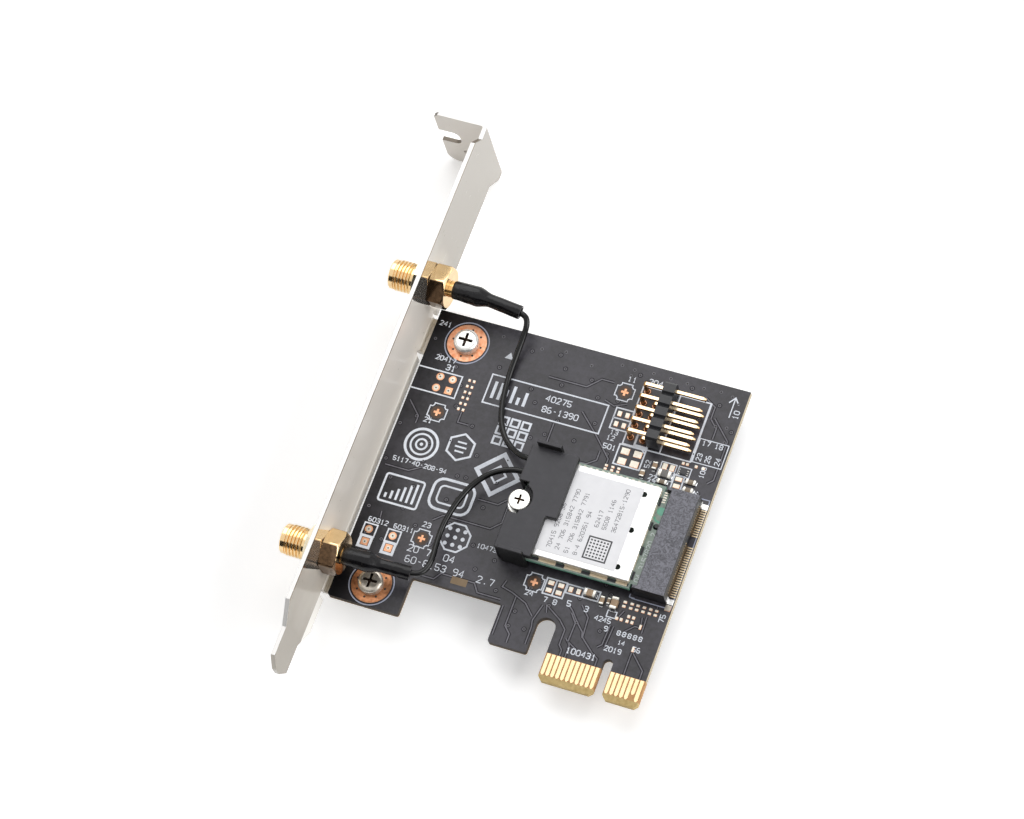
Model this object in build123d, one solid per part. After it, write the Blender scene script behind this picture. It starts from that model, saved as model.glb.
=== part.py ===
from build123d import *
import os
from math import cos, pi, radians, sin, tan

# Wireless network card for a short edge slot, in millimetres.
# Origin: on the card edge, at the first edge contact, on the component side of the board.
# +X runs along the board away from the bracket, +Y up the bracket, +Z out of the component side.

# Main board
board_t = 1.57
board_left = 46.09
board_right = 19.65
board_top = 68.20
skirt_y = 12.46
tab_y = 4.35
left_tab_w = 14.87
mid_tab_x = -12.46
mid_tab_w = 7.95
tongue_left = 0.61
tongue_corner = 0.75
slot_top_y = 12.35
board_corner_r = 0.5
key_x = 11.5
key_w = 1.90
key_depth = 7.80
bevel_y = 1.15
bevel_z = 0.42

# Edge contacts
contact_pitch = 1.0
contact_w = 0.70
contact_foot_y = 1.15
contact_top_y = 5.55
contact_t = 0.05
contact_taper = 0.35
contact_nose_w = 0.26
first_contacts = 11
skipped_contacts = 2
second_contacts = 7
short_from_end = 2
short_contact_y = 2.35
cut_over = 1.00

# Bracket, a folded sheet
sheet_t = 0.86
bracket_gap = 1.26
bracket_w = 18.42
bracket_near_z = 15.54
bracket_top = 104.85
bracket_len = 120.02
foot_inset = 4.11
foot_shoulder_y = -3.30
foot_chamfer_y = 4.30
foot_taper_y = 1.60
foot_tip_w = 2.60
neck_z = 12.30
neck_y = 101.10
neck_chamfer_y = 2.70
flange_w = 19.05
flange_y = 102.00
flange_chamfer_y = 3.80
flange_depth = 11.85
flange_corner_r = 2.60
flange_chamfer = 1.10
notch_w = 4.42
notch_depth = 4.50
notch_r = 1.60
notch_z = 3.60
pip_r = 0.75
pip_inset = 5.00
pip_z = -1.70
bend_r = 0.45
ear_w = 7.80
ear_reach = 3.60
relief_w = 1.30
relief_rise = 1.25
plug_hole_clear = 0.12

# Screws that hold the board to the bracket
screw_inset = 7.64
screw_ys = (62.60, 9.00)
screw_r = 1.50
screw_clear = 0.06
board_hole_r = 1.70
pan_r = 2.55
pan_h = 1.75
screw_tail = 0.70
cross_l = 3.00
cross_w = 0.60
cross_depth = 1.00
ring_r = 4.05
ring_t = 0.05

# Antenna connectors in the bracket
port_ys = (70.45, 10.95)
port_z = 6.30
port_turns = (101.0, 88.5)
thread_r = 3.175
thread_out = 8.10
thread_lead = 0.45
thread_root_r = 2.85
thread_neck_out = 0.30
hex_af = 8.0
hex_t = 3.60
hex_bevel = 0.45
socket_bore_r = 2.10
insulator_inset = 3.90
insulator_l = 7.20
pin_r = 0.46
pin_inset = 1.20
stub_r = 1.15
stub_l = 3.20
ferrule_r = 1.65
ferrule_l = 4.20
washer_t = 0.60
washer_r = 4.60
nut_t = 2.20
thread_fit = 0.04

# Heat-shrink sleeves over the crimped ends
sleeve_starts = (0.80, 0.10)
sleeve_r = 1.93
sleeve_neck_r = 1.32
sleeve_end_r = 1.42
sleeve_recess_r = 1.05
sleeve_recess = 1.20
sleeve_wide_ends = ((-37.50, 70.45, 6.25), (-38.30, 11.15, 6.05))
sleeve_necks = ((-35.60, 70.40, 6.05), (-36.50, 11.25, 5.80))
sleeve_ends = ((-28.75, 69.90, 5.00), (-30.40, 11.74, 4.50))

# Coaxial leads, each a route of turning points between the sleeve and the plug
lead_d = 1.20
lead_fill = 0.45
lead_exit = 1.00
lead_entry = 1.25
upper_lead_route = (
    (-26.85, 68.40, 4.30), (-27.05, 66.20, 2.90), (-27.40, 62.80, 1.50), (-27.50, 58.60, 1.00),
    (-27.10, 53.60, 0.85), (-25.95, 48.90, 0.90), (-23.90, 45.20, 1.30), (-21.00, 42.75, 2.20),
    (-18.70, 41.50, 3.30),
)
lower_lead_route = (
    (-28.00, 13.10, 4.00), (-27.50, 15.70, 3.70), (-28.05, 19.30, 3.40), (-28.25, 23.60, 3.20),
    (-27.40, 28.70, 3.20), (-25.60, 33.10, 3.45), (-22.90, 36.25, 3.75), (-19.50, 37.95, 3.95),
)

# Radio module
module_x = -15.40
module_y = 32.48
module_z = 2.20
module_l = 30.0
module_w = 22.0
module_t = 0.80
module_hole_r = 1.75
tongue_l = 3.60
tongue_step = 1.075
module_key_y = 2.50
module_key_w = 1.20
module_key_l = 3.40
module_key_clear = 0.25
module_contact_pitch = 0.50
module_contact_w = 0.35
module_contact_l = 1.90
module_contact_t = 0.03
module_contact_inset = 0.30
row_margin = 1.30
shield_inset_x = 4.90
shield_l = 21.15
shield_side = 0.925
shield_corner_r = 0.35
shield_edge = 0.12
shield_h = 1.35
shield_t = 0.15
shield_pitch = 5.30
shield_gap = 1.80
shield_lip = 0.35
shield_hole_r = 0.58
shield_hole_x = 2.90
shield_hole_ys = (-7.85, 0.05, 7.75)
label_end = 3.20
label_side = 1.20
label_t = 0.08
label_inset_x = 0.45
radio_size = (10.0, 10.0, 0.85)
radio_at = (8.6, 1.0)
amplifier_size = (3.0, 3.0, 0.70)
amplifiers_at = ((1.9, 6.6), (1.9, -5.4))
crystal_size = (2.5, 2.0, 0.60)
crystal_at = (15.6, -6.2)

# Antenna sockets and plugs on the module
plug_x = 2.40
plug_insets = (2.38, 5.18)
plug_r = 1.05
plug_wall = 0.20
plug_h = 1.20
plug_lift = 0.30
jack_base = 1.80
jack_base_t = 0.28
jack_r = 0.62
jack_h = 0.75
barrel_r = 0.82
barrel_l = 1.15
barrel_depth = 0.95
lead_z = 4.00

# Card socket
socket_in = 2.15
socket_l = 5.80
socket_wall = 0.975
socket_shift = -0.15
socket_h = 4.20
socket_stand = 0.08
socket_edge = 0.15
arm_l = 0.85
arm_w = 0.80
mouth_clear = 0.06
mouth_depth = 3.00
mouth_low = 1.15
mouth_high = 3.62
spring_w = 0.22
spring_t = 0.15
tail_l = 1.10
upper_run_z = 2.12
lower_run_z = 0.98
tail_gap = 0.02
slot_side = 0.25
touch_inset = 1.00
hold_foot = (1.25, 1.10, 0.18)
hold_rise = 1.40
hold_inset = 0.15

# Cover over the antenna plugs
cover_overhang = 1.10
cover_upper_l = 9.90
cover_lower_l = 7.60
cover_side = 0.25
cover_top = 5.70
cover_t = 0.60
cover_step_y = -2.45
cover_notch_low = -3.45
cover_notch_high = 3.50
cover_notch_in = 2.25
cover_notch_r = 2.95
cover_wall = 0.55
cover_end_wall = 0.75
cover_edge_r = 0.25
cover_foot = 0.40
cover_slot_w = 1.50
cover_slot_top = 4.80
cover_rest = 0.07
leg_x = 0.20
leg_l = 5.00
leg_t = 0.70
leg_clear = 0.08
leg_rise = 1.90
lug_t = 0.40
lug_r = 2.45
lug_back = 0.20

# Screw and standoff at the module's free end
stand_r = 2.70
stand_neck_r = 1.62
stand_neck_h = 0.65
stand_edge = 0.20
module_screw_r = 1.00
module_head_r = 2.25
module_head_h = 0.75
module_cross = (2.10, 0.42, 0.45)

# Pin header
header_y = 57.60
header_pitch = 2.54
header_columns = 5
header_pads_x = 0.0
header_stand = 1.41
header_body_l = 2.50
header_body_h = 5.08
header_v = 0.42
header_pin = 0.64
header_pin_end = 12.73
header_tip = 0.60
header_tip_w = 0.30
header_bend_r = 0.58
header_tail = 1.40
header_hole_r = 0.50
header_blanks = 1

# Small parts soldered to the board: x, y, length, width, height, and the axis they lie along
capacitors = (
    (6.70, 47.95, 1.60, 0.85, 0.80, "y"), (4.80, 45.75, 1.35, 0.90, 0.60, "y"),
    (3.55, 19.20, 2.30, 1.30, 1.20, "x"), (6.20, 18.55, 1.70, 0.85, 0.80, "y"),
    (8.75, 18.60, 2.50, 1.30, 1.20, "y"), (7.45, 18.85, 1.30, 0.60, 0.50, "y"),
)
resistors = (
    (9.10, 45.25, 1.90, 0.90, 0.45, "x"), (14.55, 46.65, 2.00, 1.00, 0.50, "x"),
    (14.55, 44.95, 2.00, 0.95, 0.50, "x"),
)
inductor = (9.15, 46.80, 2.60, 1.40, 0.90, "x")
cap_share = 0.24
cap_proud = 0.03
regulator_at = (12.50, 48.30)
regulator_size = (1.30, 1.20, 0.85)
regulator_lead = (0.22, 0.30, 0.15)
regulator_pitch = 0.45

# Places worked out from the sizes above
board_x0 = -board_left
board_x1 = board_right
board_back = -board_t
left_tab_x1 = board_x0 + left_tab_w
mid_tab_x1 = mid_tab_x + mid_tab_w
plate_x1 = board_x0 - bracket_gap
plate_x0 = plate_x1 - sheet_t
far_z = bracket_near_z - bracket_w
flange_far_z = neck_z - flange_w
foot_tip_y = bracket_top - bracket_len
screw_x = board_x0 + screw_inset
ear_top = board_back
ear_low = board_back - sheet_t
hex_end = plate_x1 + hex_t
thread_end = plate_x0 - thread_out
module_top = module_z + module_t
module_x1 = module_x + module_l
tongue_x = module_x1 - tongue_l
shield_x0 = module_x + shield_inset_x
shield_x1 = shield_x0 + shield_l
shield_top = module_top + shield_h
socket_x0 = module_x1 - socket_in
socket_x1 = socket_x0 + socket_l
cover_x0 = module_x - cover_overhang
cover_under = cover_top - cover_t
lead_r = lead_d / 2
tongue_w = module_w - 2 * tongue_step
row_spaces = int((tongue_w - row_margin) / module_contact_pitch)
row_span = row_spaces * module_contact_pitch
shield_w = module_w - 2 * shield_side
label_l = shield_l - label_inset_x - label_end
label_w = shield_w - 2 * label_side
socket_w = tongue_w + 2 * socket_wall
cover_w = module_w + 2 * cover_side
plug_ys = [module_y + module_w / 2 - inset for inset in plug_insets]


def block(x0, x1, y0, y1, z0, z1):
    return Pos((x0 + x1) / 2, (y0 + y1) / 2, (z0 + z1) / 2) * Box(x1 - x0, y1 - y0, z1 - z0)


def post(x, y, z0, z1, r):
    return Pos(x, y, (z0 + z1) / 2) * Cylinder(r, z1 - z0)


def rod(x0, x1, y, z, r):
    return Pos((x0 + x1) / 2, y, z) * Rot(0, 90, 0) * Cylinder(r, x1 - x0)


def prism_z(points, z0, z1):
    return extrude(Plane.XY.offset(z0) * Polygon(*points, align=None), z1 - z0)


def prism_x(points, x0, x1):
    """Outline of (y, z) points, run along X."""
    base = Plane(origin=(x0, 0, 0), x_dir=(0, 1, 0), z_dir=(1, 0, 0))
    return extrude(base * Polygon(*points, align=None), x1 - x0)


def prism_y(points, y0, y1):
    """Outline of (x, z) points, run along Y."""
    base = Plane(origin=(0, y1, 0), x_dir=(1, 0, 0), z_dir=(0, -1, 0))
    return extrude(base * Polygon(*points, align=None), y1 - y0)


def hexagon_x(x0, x1, y, z, across, turn):
    """Hexagonal bar along X, with one corner at the angle turn."""
    r = across / 2 / cos(radians(30))
    angles = [radians(turn + 60 * k) for k in range(6)]
    corners = [(y + r * cos(a), z + r * sin(a)) for a in angles]
    return prism_x(corners, x0, x1)


def main_board():
    outline = [
        (board_x0, tab_y), (left_tab_x1, tab_y), (left_tab_x1, skirt_y), (mid_tab_x, skirt_y),
        (mid_tab_x, tab_y), (mid_tab_x1, tab_y), (mid_tab_x1, 0), (board_x1, 0),
        (board_x1, board_top), (board_x0, board_top),
    ]
    board = prism_z(outline, board_back, 0)
    slot_r = (-tongue_left - mid_tab_x1) / 2
    slot_x = (-tongue_left + mid_tab_x1) / 2
    arch_y = slot_top_y - slot_r
    board -= block(mid_tab_x1, -tongue_left, -1, arch_y, board_back, 0)
    board -= post(slot_x, arch_y, board_back, 0, slot_r)
    key_arch = key_depth - key_w / 2
    board -= block(key_x - key_w / 2, key_x + key_w / 2, -1, key_arch, board_back, 0)
    board -= post(key_x, key_arch, board_back, 0, key_w / 2)
    corner_xs = (board_x0, left_tab_x1, mid_tab_x, mid_tab_x1)
    rounded = [e for e in board.edges().filter_by(Axis.Z)
               if e.center().Y < skirt_y + 0.01
               and min(abs(e.center().X - x) for x in corner_xs) < 0.01
               and min(abs(e.center().Y - y) for y in (tab_y, skirt_y)) < 0.01]
    board = fillet(rounded, board_corner_r)
    cut_xs = (-tongue_left, key_x - key_w / 2, key_x + key_w / 2, board_x1)
    corners = [e for e in board.edges().filter_by(Axis.Z)
               if abs(e.center().Y) < 0.01 and min(abs(e.center().X - x) for x in cut_xs) < 0.01]
    board = chamfer(corners, tongue_corner)
    reach = cut_over
    for face, side in ((0, 1), (board_back, -1)):
        wedge = [(-reach, face + side * reach), (-reach, face - side * bevel_z * (1 + reach / bevel_y)),
                 (bevel_y, face), (bevel_y, face + side * reach)]
        board -= prism_x(wedge, -tongue_left - reach, board_x1 + reach)
    for y in screw_ys:
        board -= post(screw_x, y, board_back, 0, board_hole_r)
    for row in range(2):
        for column in header_places(row):
            board -= post(header_pad_x(row), column_y(column), board_back, 0, header_hole_r)
    return board


def contact_xs():
    start = first_contacts + skipped_contacts
    places = list(range(first_contacts)) + list(range(start, start + second_contacts))
    return [k * contact_pitch for k in places]


def edge_contacts(z0, z1):
    half = contact_w / 2
    nose = contact_nose_w / 2
    pads = []
    xs = contact_xs()
    for k, x in enumerate(xs):
        foot = short_contact_y if k == len(xs) - short_from_end else contact_foot_y
        outline = [(x - half, foot + contact_taper), (x - nose, foot), (x + nose, foot),
                   (x + half, foot + contact_taper), (x + half, contact_top_y), (x - half, contact_top_y)]
        pads.append(prism_z(outline, z0, z1))
    return pads


def ground_rings():
    rings = []
    for y in screw_ys:
        rings.append(post(screw_x, y, 0, ring_t, ring_r) - post(screw_x, y, 0, ring_t, board_hole_r))
    return rings


def ear_slab(y, z0, z1):
    return block(plate_x0, screw_x + ear_reach, y - ear_w / 2, y + ear_w / 2, z0, z1)


def foot_outline():
    """The plate's lower end in (y, z), from its near shoulder round the tip to its far shoulder."""
    near = bracket_near_z
    middle = (near + far_z) / 2
    shoulder_end = foot_shoulder_y - foot_chamfer_y
    return [
        (foot_shoulder_y, near), (shoulder_end, near - foot_inset),
        (foot_tip_y + foot_taper_y, near - foot_inset), (foot_tip_y, middle + foot_tip_w / 2),
        (foot_tip_y, middle - foot_tip_w / 2), (foot_tip_y + foot_taper_y, far_z + foot_inset),
        (shoulder_end, far_z + foot_inset), (foot_shoulder_y, far_z),
    ]


def bracket():
    near = bracket_near_z
    outline = foot_outline() + [
        (flange_y - flange_chamfer_y, far_z), (flange_y, flange_far_z), (bracket_top, flange_far_z),
        (bracket_top, neck_z), (neck_y, neck_z), (neck_y - neck_chamfer_y, near),
    ]
    sheet = prism_x(outline, plate_x0, plate_x1)
    sheet += top_flange()
    for y in screw_ys:
        sheet = add_ear(sheet, y)
    fold = [e for e in sheet.edges().filter_by(Axis.Z)
            if abs(e.center().X - plate_x1) < 0.01 and abs(e.center().Y - bracket_top) < 0.01]
    sheet = fillet(fold, bend_r + sheet_t)
    crease = [e for e in sheet.edges().filter_by(Axis.Z)
              if abs(e.center().X - plate_x0) < 0.01 and abs(e.center().Y - bracket_top + sheet_t) < 0.01]
    sheet = fillet(crease, bend_r)
    for y in port_ys:
        sheet -= rod(plate_x0, plate_x1, y, port_z, thread_r + plug_hole_clear)
    for y in screw_ys:
        sheet -= post(screw_x, y, ear_low, ear_top, screw_r + screw_clear)
    return sheet


def top_flange():
    """The fold at the top, with the notch that a case screw passes through."""
    low = bracket_top - sheet_t
    outer = plate_x1 - flange_depth
    flange = block(outer, plate_x1, low, bracket_top, flange_far_z, neck_z)
    flange = fillet(upright_edges(flange, outer)[0], flange_corner_r)
    flange = chamfer(upright_edges(flange, outer)[-1], flange_chamfer)
    inner = outer + notch_depth
    notch = block(outer - notch_r, inner, low, bracket_top, notch_z - notch_w / 2, notch_z + notch_w / 2)
    flange -= fillet(upright_edges(notch, inner), notch_r)
    pip = Rot(90, 0, 0) * Cylinder(pip_r, sheet_t)
    return flange - Pos(outer + pip_inset, (low + bracket_top) / 2, pip_z) * pip


def upright_edges(shape, x):
    """Edges along Y at that x, the lowest first."""
    edges = shape.edges().filter_by(Axis.Y).filter_by(lambda e: abs(e.center().X - x) < 0.01)
    return edges.sort_by(Axis.Z)


def add_ear(sheet, y):
    """A mounting ear, folded from the plate's far edge to lie behind the board."""
    y0 = y - ear_w / 2
    y1 = y + ear_w / 2
    sheet -= block(plate_x0, plate_x1, y0, y1, far_z, ear_low)
    half = relief_w / 2
    arch_z = ear_top + relief_rise
    for centre in (y0 - half, y1 + half):
        sheet -= block(plate_x0, plate_x1, centre - half, centre + half, far_z, arch_z)
        sheet -= rod(plate_x0, plate_x1, centre, arch_z, half)
    ear = ear_slab(y, ear_low, ear_top)
    tips = ear.edges().filter_by(Axis.Z).filter_by(lambda e: e.center().X > screw_x)
    sheet += fillet(tips, relief_w)
    outside = [e for e in sheet.edges().filter_by(Axis.Y)
               if abs(e.center().X - plate_x0) < 0.01 and abs(e.center().Z - ear_low) < 0.01
               and y0 - 0.01 < e.center().Y < y1 + 0.01]
    sheet = fillet(outside, bend_r + sheet_t / 2)
    inside = [e for e in sheet.edges().filter_by(Axis.Y)
              if abs(e.center().X - plate_x1) < 0.01 and abs(e.center().Z - ear_top) < 0.01
              and y0 - 0.01 < e.center().Y < y1 + 0.01]
    return fillet(inside, bend_r)


def cross_recess(x, y, top, length, width, depth):
    long, short = length / 2, width / 2
    bar = block(x - long, x + long, y - short, y + short, top - depth, top)
    return bar + block(x - short, x + short, y - long, y + long, top - depth, top)


def pan_screw(x, y, seat, low, r, head_r, head_h, cross):
    head = post(x, y, seat, seat + head_h, head_r)
    head = fillet(head.edges().sort_by(Axis.Z)[-1], head_h * 0.45)
    return head + post(x, y, low, seat, r) - cross_recess(x, y, seat + head_h, *cross)


def bracket_screws():
    return [pan_screw(screw_x, y, ring_t, ear_low - screw_tail, screw_r, pan_r, pan_h,
                      (cross_l, cross_w, cross_depth)) for y in screw_ys]


def connector_body(y, turn):
    """Bulkhead connector: hexagon inside the bracket, plain stretch for the thread outside it."""
    hexagon = hexagon_x(plate_x1, hex_end, y, port_z, hex_af, turn)
    corner_r = hex_af / 2 / cos(radians(30))
    bevel = Rot(0, 90, 0) * Cone(corner_r, hex_af / 2 - hex_bevel, hex_bevel)
    envelope = rod(plate_x1, hex_end - hex_bevel, y, port_z, corner_r)
    hexagon = hexagon & (envelope + Pos(hex_end - hex_bevel / 2, y, port_z) * bevel)
    neck_x = plate_x0 - washer_t - nut_t - thread_neck_out
    barrel = rod(thread_end, neck_x, y, port_z, thread_r)
    barrel = chamfer(barrel.edges().sort_by(Axis.X)[0], thread_lead)
    barrel += rod(neck_x, plate_x1, y, port_z, thread_root_r)
    body = hexagon + barrel + rod(hex_end, hex_end + stub_l, y, port_z, stub_r)
    insulator_end = thread_end + insulator_inset + insulator_l
    return body - rod(thread_end, insulator_end, y, port_z, socket_bore_r)


def connector_insulator(y):
    start = thread_end + insulator_inset
    end = start + insulator_l
    return rod(start, end, y, port_z, socket_bore_r) - rod(start, end, y, port_z, pin_r)


def connector_pin(y):
    start = thread_end + pin_inset
    pin = rod(start, thread_end + insulator_inset + insulator_l, y, port_z, pin_r)
    return fillet(pin.edges().sort_by(Axis.X)[0], pin_r * 0.6)


def lock_washer(y):
    x0, x1 = plate_x0 - washer_t, plate_x0
    return rod(x0, x1, y, port_z, washer_r) - rod(x0, x1, y, port_z, thread_r + thread_fit)


def connector_nut(y, turn):
    x1 = plate_x0 - washer_t
    x0 = x1 - nut_t
    corner_r = hex_af / 2 / cos(radians(30))
    bevel = Rot(0, -90, 0) * Cone(corner_r, hex_af / 2 - hex_bevel, hex_bevel)
    envelope = rod(x0 + hex_bevel, x1, y, port_z, corner_r) + Pos(x0 + hex_bevel / 2, y, port_z) * bevel
    nut = hexagon_x(x0, x1, y, port_z, hex_af, turn) & envelope
    return nut - rod(x0, x1, y, port_z, thread_root_r + thread_fit)


def crimp_ferrule(y):
    ferrule = rod(hex_end, hex_end + ferrule_l, y, port_z, ferrule_r)
    return ferrule - rod(hex_end, hex_end + stub_l, y, port_z, stub_r)


def sleeve_axis(index):
    start = Vector(hex_end + sleeve_starts[index], port_ys[index], port_z)
    return [start] + [Vector(*row[index]) for row in (sleeve_wide_ends, sleeve_necks, sleeve_ends)]


def heat_shrink(index):
    """Sleeve shrunk over the ferrule, stepping down to the lead."""
    start, wide, neck, end = sleeve_axis(index)
    along = Vector(1, 0, 0)
    droop = (end - neck).normalized()
    stations = [(start, along, sleeve_r - 0.08), (wide, along, sleeve_r), (neck, droop, sleeve_neck_r),
                (end, droop, sleeve_end_r)]
    rings = [Plane(origin=at, z_dir=way) * Circle(r) for at, way, r in stations]
    sleeve = loft(rings, ruled=True)
    sleeve -= rod(start.X, hex_end + ferrule_l, start.Y, start.Z, ferrule_r)
    mouth = Plane(origin=end - droop * sleeve_recess, z_dir=droop) * Circle(sleeve_recess_r)
    return sleeve - extrude(mouth, sleeve_recess)


def lead_points(index):
    neck, end = sleeve_axis(index)[2:]
    droop = (end - neck).normalized()
    route = [Vector(*p) for p in (upper_lead_route, lower_lead_route)[index]]
    y = plug_ys[index]
    barrel_x = module_x + plug_x - plug_r - barrel_l
    plugged = [Vector(barrel_x - lead_entry, y, lead_z), Vector(barrel_x + barrel_depth, y, lead_z)]
    return [end - droop * sleeve_recess, end + droop * lead_exit] + route + plugged


def lead(index):
    """Straight runs joined by arcs as large as their shorter run allows."""
    points = lead_points(index)
    radii = []
    for a, b, c in zip(points, points[1:], points[2:]):
        turn = radians((b - a).get_angle(c - b))
        radii.append(lead_fill * min((b - a).length, (c - b).length) / tan(turn / 2))
    print("lead", index, "radii", [round(r, 1) for r in radii])
    path = FilletPolyline(*points, radius=radii)
    tube = sweep(Plane(origin=path @ 0, z_dir=path % 0) * Circle(lead_r), path=path)
    ratio = tube.volume / (path.length * pi * lead_r ** 2)
    print("lead", index, "length", round(path.length, 2), "volume ratio", round(ratio, 4))
    return tube


def module_board():
    y0, y1 = module_y - module_w / 2, module_y + module_w / 2
    board = block(module_x, module_x1, y0, y1, module_z, module_top)
    for side in (-1, 1):
        edge = module_y + side * (module_w + tongue_w) / 4
        half = (module_w - tongue_w) / 4
        board -= block(tongue_x, module_x1, edge - half, edge + half, module_z, module_top)
    key_y = module_y + module_key_y
    key_r = module_key_w / 2
    key_x0 = module_x1 - module_key_l + key_r
    board -= block(key_x0, module_x1, key_y - key_r, key_y + key_r, module_z, module_top)
    board -= post(key_x0, key_y, module_z, module_top, key_r)
    return board - post(module_x, module_y, module_z, module_top, module_hole_r)


def row_ys():
    """Contact places along the card socket, without those that the key takes."""
    ys = [module_y + row_span / 2 - k * module_contact_pitch for k in range(row_spaces + 1)]
    key_half = module_key_w / 2 + module_key_clear
    return [y for y in ys if abs(y - module_y - module_key_y) > key_half]


def module_contacts():
    half = module_contact_w / 2
    x1 = module_x1 - module_contact_inset
    x0 = x1 - module_contact_l
    pads = []
    for z0 in (module_top, module_z - module_contact_t):
        pads += [block(x0, x1, y - half, y + half, z0, z0 + module_contact_t) for y in row_ys()]
    return pads


def module_shield():
    """Drawn lid with fingered walls, soldered to the module."""
    y0, y1 = module_y - shield_w / 2, module_y + shield_w / 2
    lid = block(shield_x0, shield_x1, y0, y1, module_top, shield_top)
    lid = fillet(lid.edges().filter_by(Axis.Z), shield_corner_r)
    lid = chamfer(lid.faces().sort_by(Axis.Z)[-1].edges(), shield_edge)
    lid -= block(shield_x0 + shield_t, shield_x1 - shield_t, y0 + shield_t, y1 - shield_t,
                 module_top, shield_top - shield_t)
    gap_top = shield_top - shield_lip
    for k in range(int((shield_l - shield_gap) / shield_pitch) + 1):
        x = shield_x0 + shield_gap + k * shield_pitch
        lid -= block(x - shield_gap / 2, x + shield_gap / 2, y0, y1, module_top, gap_top)
    for k in range(int((shield_w - shield_gap) / shield_pitch) + 1):
        y = y0 + shield_gap + k * shield_pitch
        lid -= block(shield_x0, shield_x1, y - shield_gap / 2, y + shield_gap / 2, module_top, gap_top)
    hole_x = shield_x1 - shield_hole_x
    for y in shield_hole_ys:
        lid -= post(hole_x, module_y + y, shield_top - shield_t, shield_top, shield_hole_r)
    return lid


def module_label():
    x0 = shield_x0 + label_inset_x
    y0, y1 = module_y - label_w / 2, module_y + label_w / 2
    return block(x0, x0 + label_l, y0, y1, shield_top, shield_top + label_t)


def on_module(at, size):
    """A package soldered inside the shield, placed from the shield's end and the module's middle."""
    x, y = shield_x0 + at[0], module_y + at[1]
    length, width, height = size
    half_l, half_w = length / 2, width / 2
    return block(x - half_l, x + half_l, y - half_w, y + half_w, module_top, module_top + height)


def antenna_jacks():
    jacks = []
    x = module_x + plug_x
    half = jack_base / 2
    for y in plug_ys:
        base = block(x - half, x + half, y - half, y + half, module_top, module_top + jack_base_t)
        ring = post(x, y, module_top, module_top + jack_h, jack_r)
        jacks.append(base + ring - post(x, y, module_top + jack_base_t, module_top + jack_h, jack_r / 2))
    return jacks


def antenna_plug(index):
    """Snap-on plug, open below, with a crimped barrel that holds the lead."""
    x, y = module_x + plug_x, plug_ys[index]
    low = module_top + plug_lift
    cap = post(x, y, low, low + plug_h, plug_r)
    cap = fillet(cap.edges().sort_by(Axis.Z)[-1], plug_wall)
    cap += rod(x - plug_r - barrel_l, x, y, lead_z, barrel_r) & \
        block(x - plug_r - barrel_l, x, y - barrel_r, y + barrel_r, low, lead_z + barrel_r)
    cap -= post(x, y, low, low + plug_h - plug_wall, plug_r - plug_wall)
    barrel_x = x - plug_r - barrel_l
    return cap - rod(barrel_x, barrel_x + barrel_depth, y, lead_z, lead_r)


def socket_housing():
    middle = module_y + socket_shift
    y0, y1 = middle - socket_w / 2, middle + socket_w / 2
    housing = block(socket_x0, socket_x1, y0, y1, socket_stand, socket_h)
    for y in (y0, y1 - arm_w):
        housing += block(socket_x0 - arm_l, socket_x0, y, y + arm_w, socket_stand, socket_h)
    crest = housing.faces().sort_by(Axis.Z)[-1].edges()
    housing = chamfer(crest, socket_edge)
    half = tongue_w / 2 + mouth_clear
    mouth_x1 = socket_x0 + mouth_depth
    housing -= block(socket_x0, mouth_x1, module_y - half, module_y + half, mouth_low, mouth_high)
    reach = row_span / 2 + slot_side
    run_half = spring_t / 2 + tail_gap
    housing -= block(mouth_x1, socket_x1, module_y - reach, module_y + reach,
                     upper_run_z - run_half, upper_run_z + run_half)
    housing -= block(socket_x0, socket_x0 + spring_t + 2 * tail_gap, module_y - reach, module_y + reach,
                     socket_stand, mouth_low)
    key_y = module_y + module_key_y
    key_half = module_key_w / 2 - mouth_clear
    key_x0 = module_x1 - module_key_l + module_key_w
    return housing + block(key_x0, mouth_x1, key_y - key_half, key_y + key_half, mouth_low, mouth_high)


def spring_row(corners, places):
    """Bent strips that follow a line of (x, z) corners with square turns, one at each place along Y."""
    half = spring_t / 2
    strip = None
    for (xa, za), (xb, zb) in zip(corners, corners[1:]):
        run = block(min(xa, xb) - half, max(xa, xb) + half, -spring_w / 2, spring_w / 2,
                    min(za, zb) - half, max(za, zb) + half)
        strip = run if strip is None else strip + run
    return [Pos(0, y, 0) * strip for y in places]


def upper_springs():
    half = spring_t / 2
    rear = socket_x1 + half + tail_gap
    inner = socket_x0 + mouth_depth - half - tail_gap
    touch = module_top + module_contact_t + half
    tip = module_x1 - touch_inset
    corners = [(rear + tail_l, half), (rear, half), (rear, upper_run_z), (inner, upper_run_z),
               (inner, touch + spring_t), (tip, touch + spring_t), (tip, touch)]
    return spring_row(corners, row_ys())


def lower_springs():
    half = spring_t / 2
    front = socket_x0 + half + tail_gap
    touch = module_z - module_contact_t - half
    tip = module_x1 - touch_inset
    run_z = mouth_low + half + tail_gap
    corners = [(front - tail_l, half), (front, half), (front, run_z), (tip, run_z), (tip, touch)]
    return spring_row(corners, row_ys())


def hold_downs():
    """Solder tabs at the back corners of the card socket."""
    tabs = []
    foot_x, foot_y, foot_t = hold_foot
    for side in (-1, 1):
        outer = module_y + socket_shift + side * (socket_w / 2 - hold_inset)
        y0, y1 = sorted((outer, outer - side * foot_y))
        foot = block(socket_x1, socket_x1 + foot_x, y0, y1, 0, foot_t)
        tabs.append(foot + block(socket_x1, socket_x1 + foot_t, y0, y1, 0, hold_rise))
    return tabs


def cover_outline():
    upper = cover_x0 + cover_upper_l
    lower = cover_x0 + cover_lower_l
    low, high = module_y - cover_w / 2, module_y + cover_w / 2
    step = module_y + cover_step_y
    return [(cover_x0, low), (lower, low), (lower, step), (upper, step), (upper, high), (cover_x0, high)]


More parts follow.
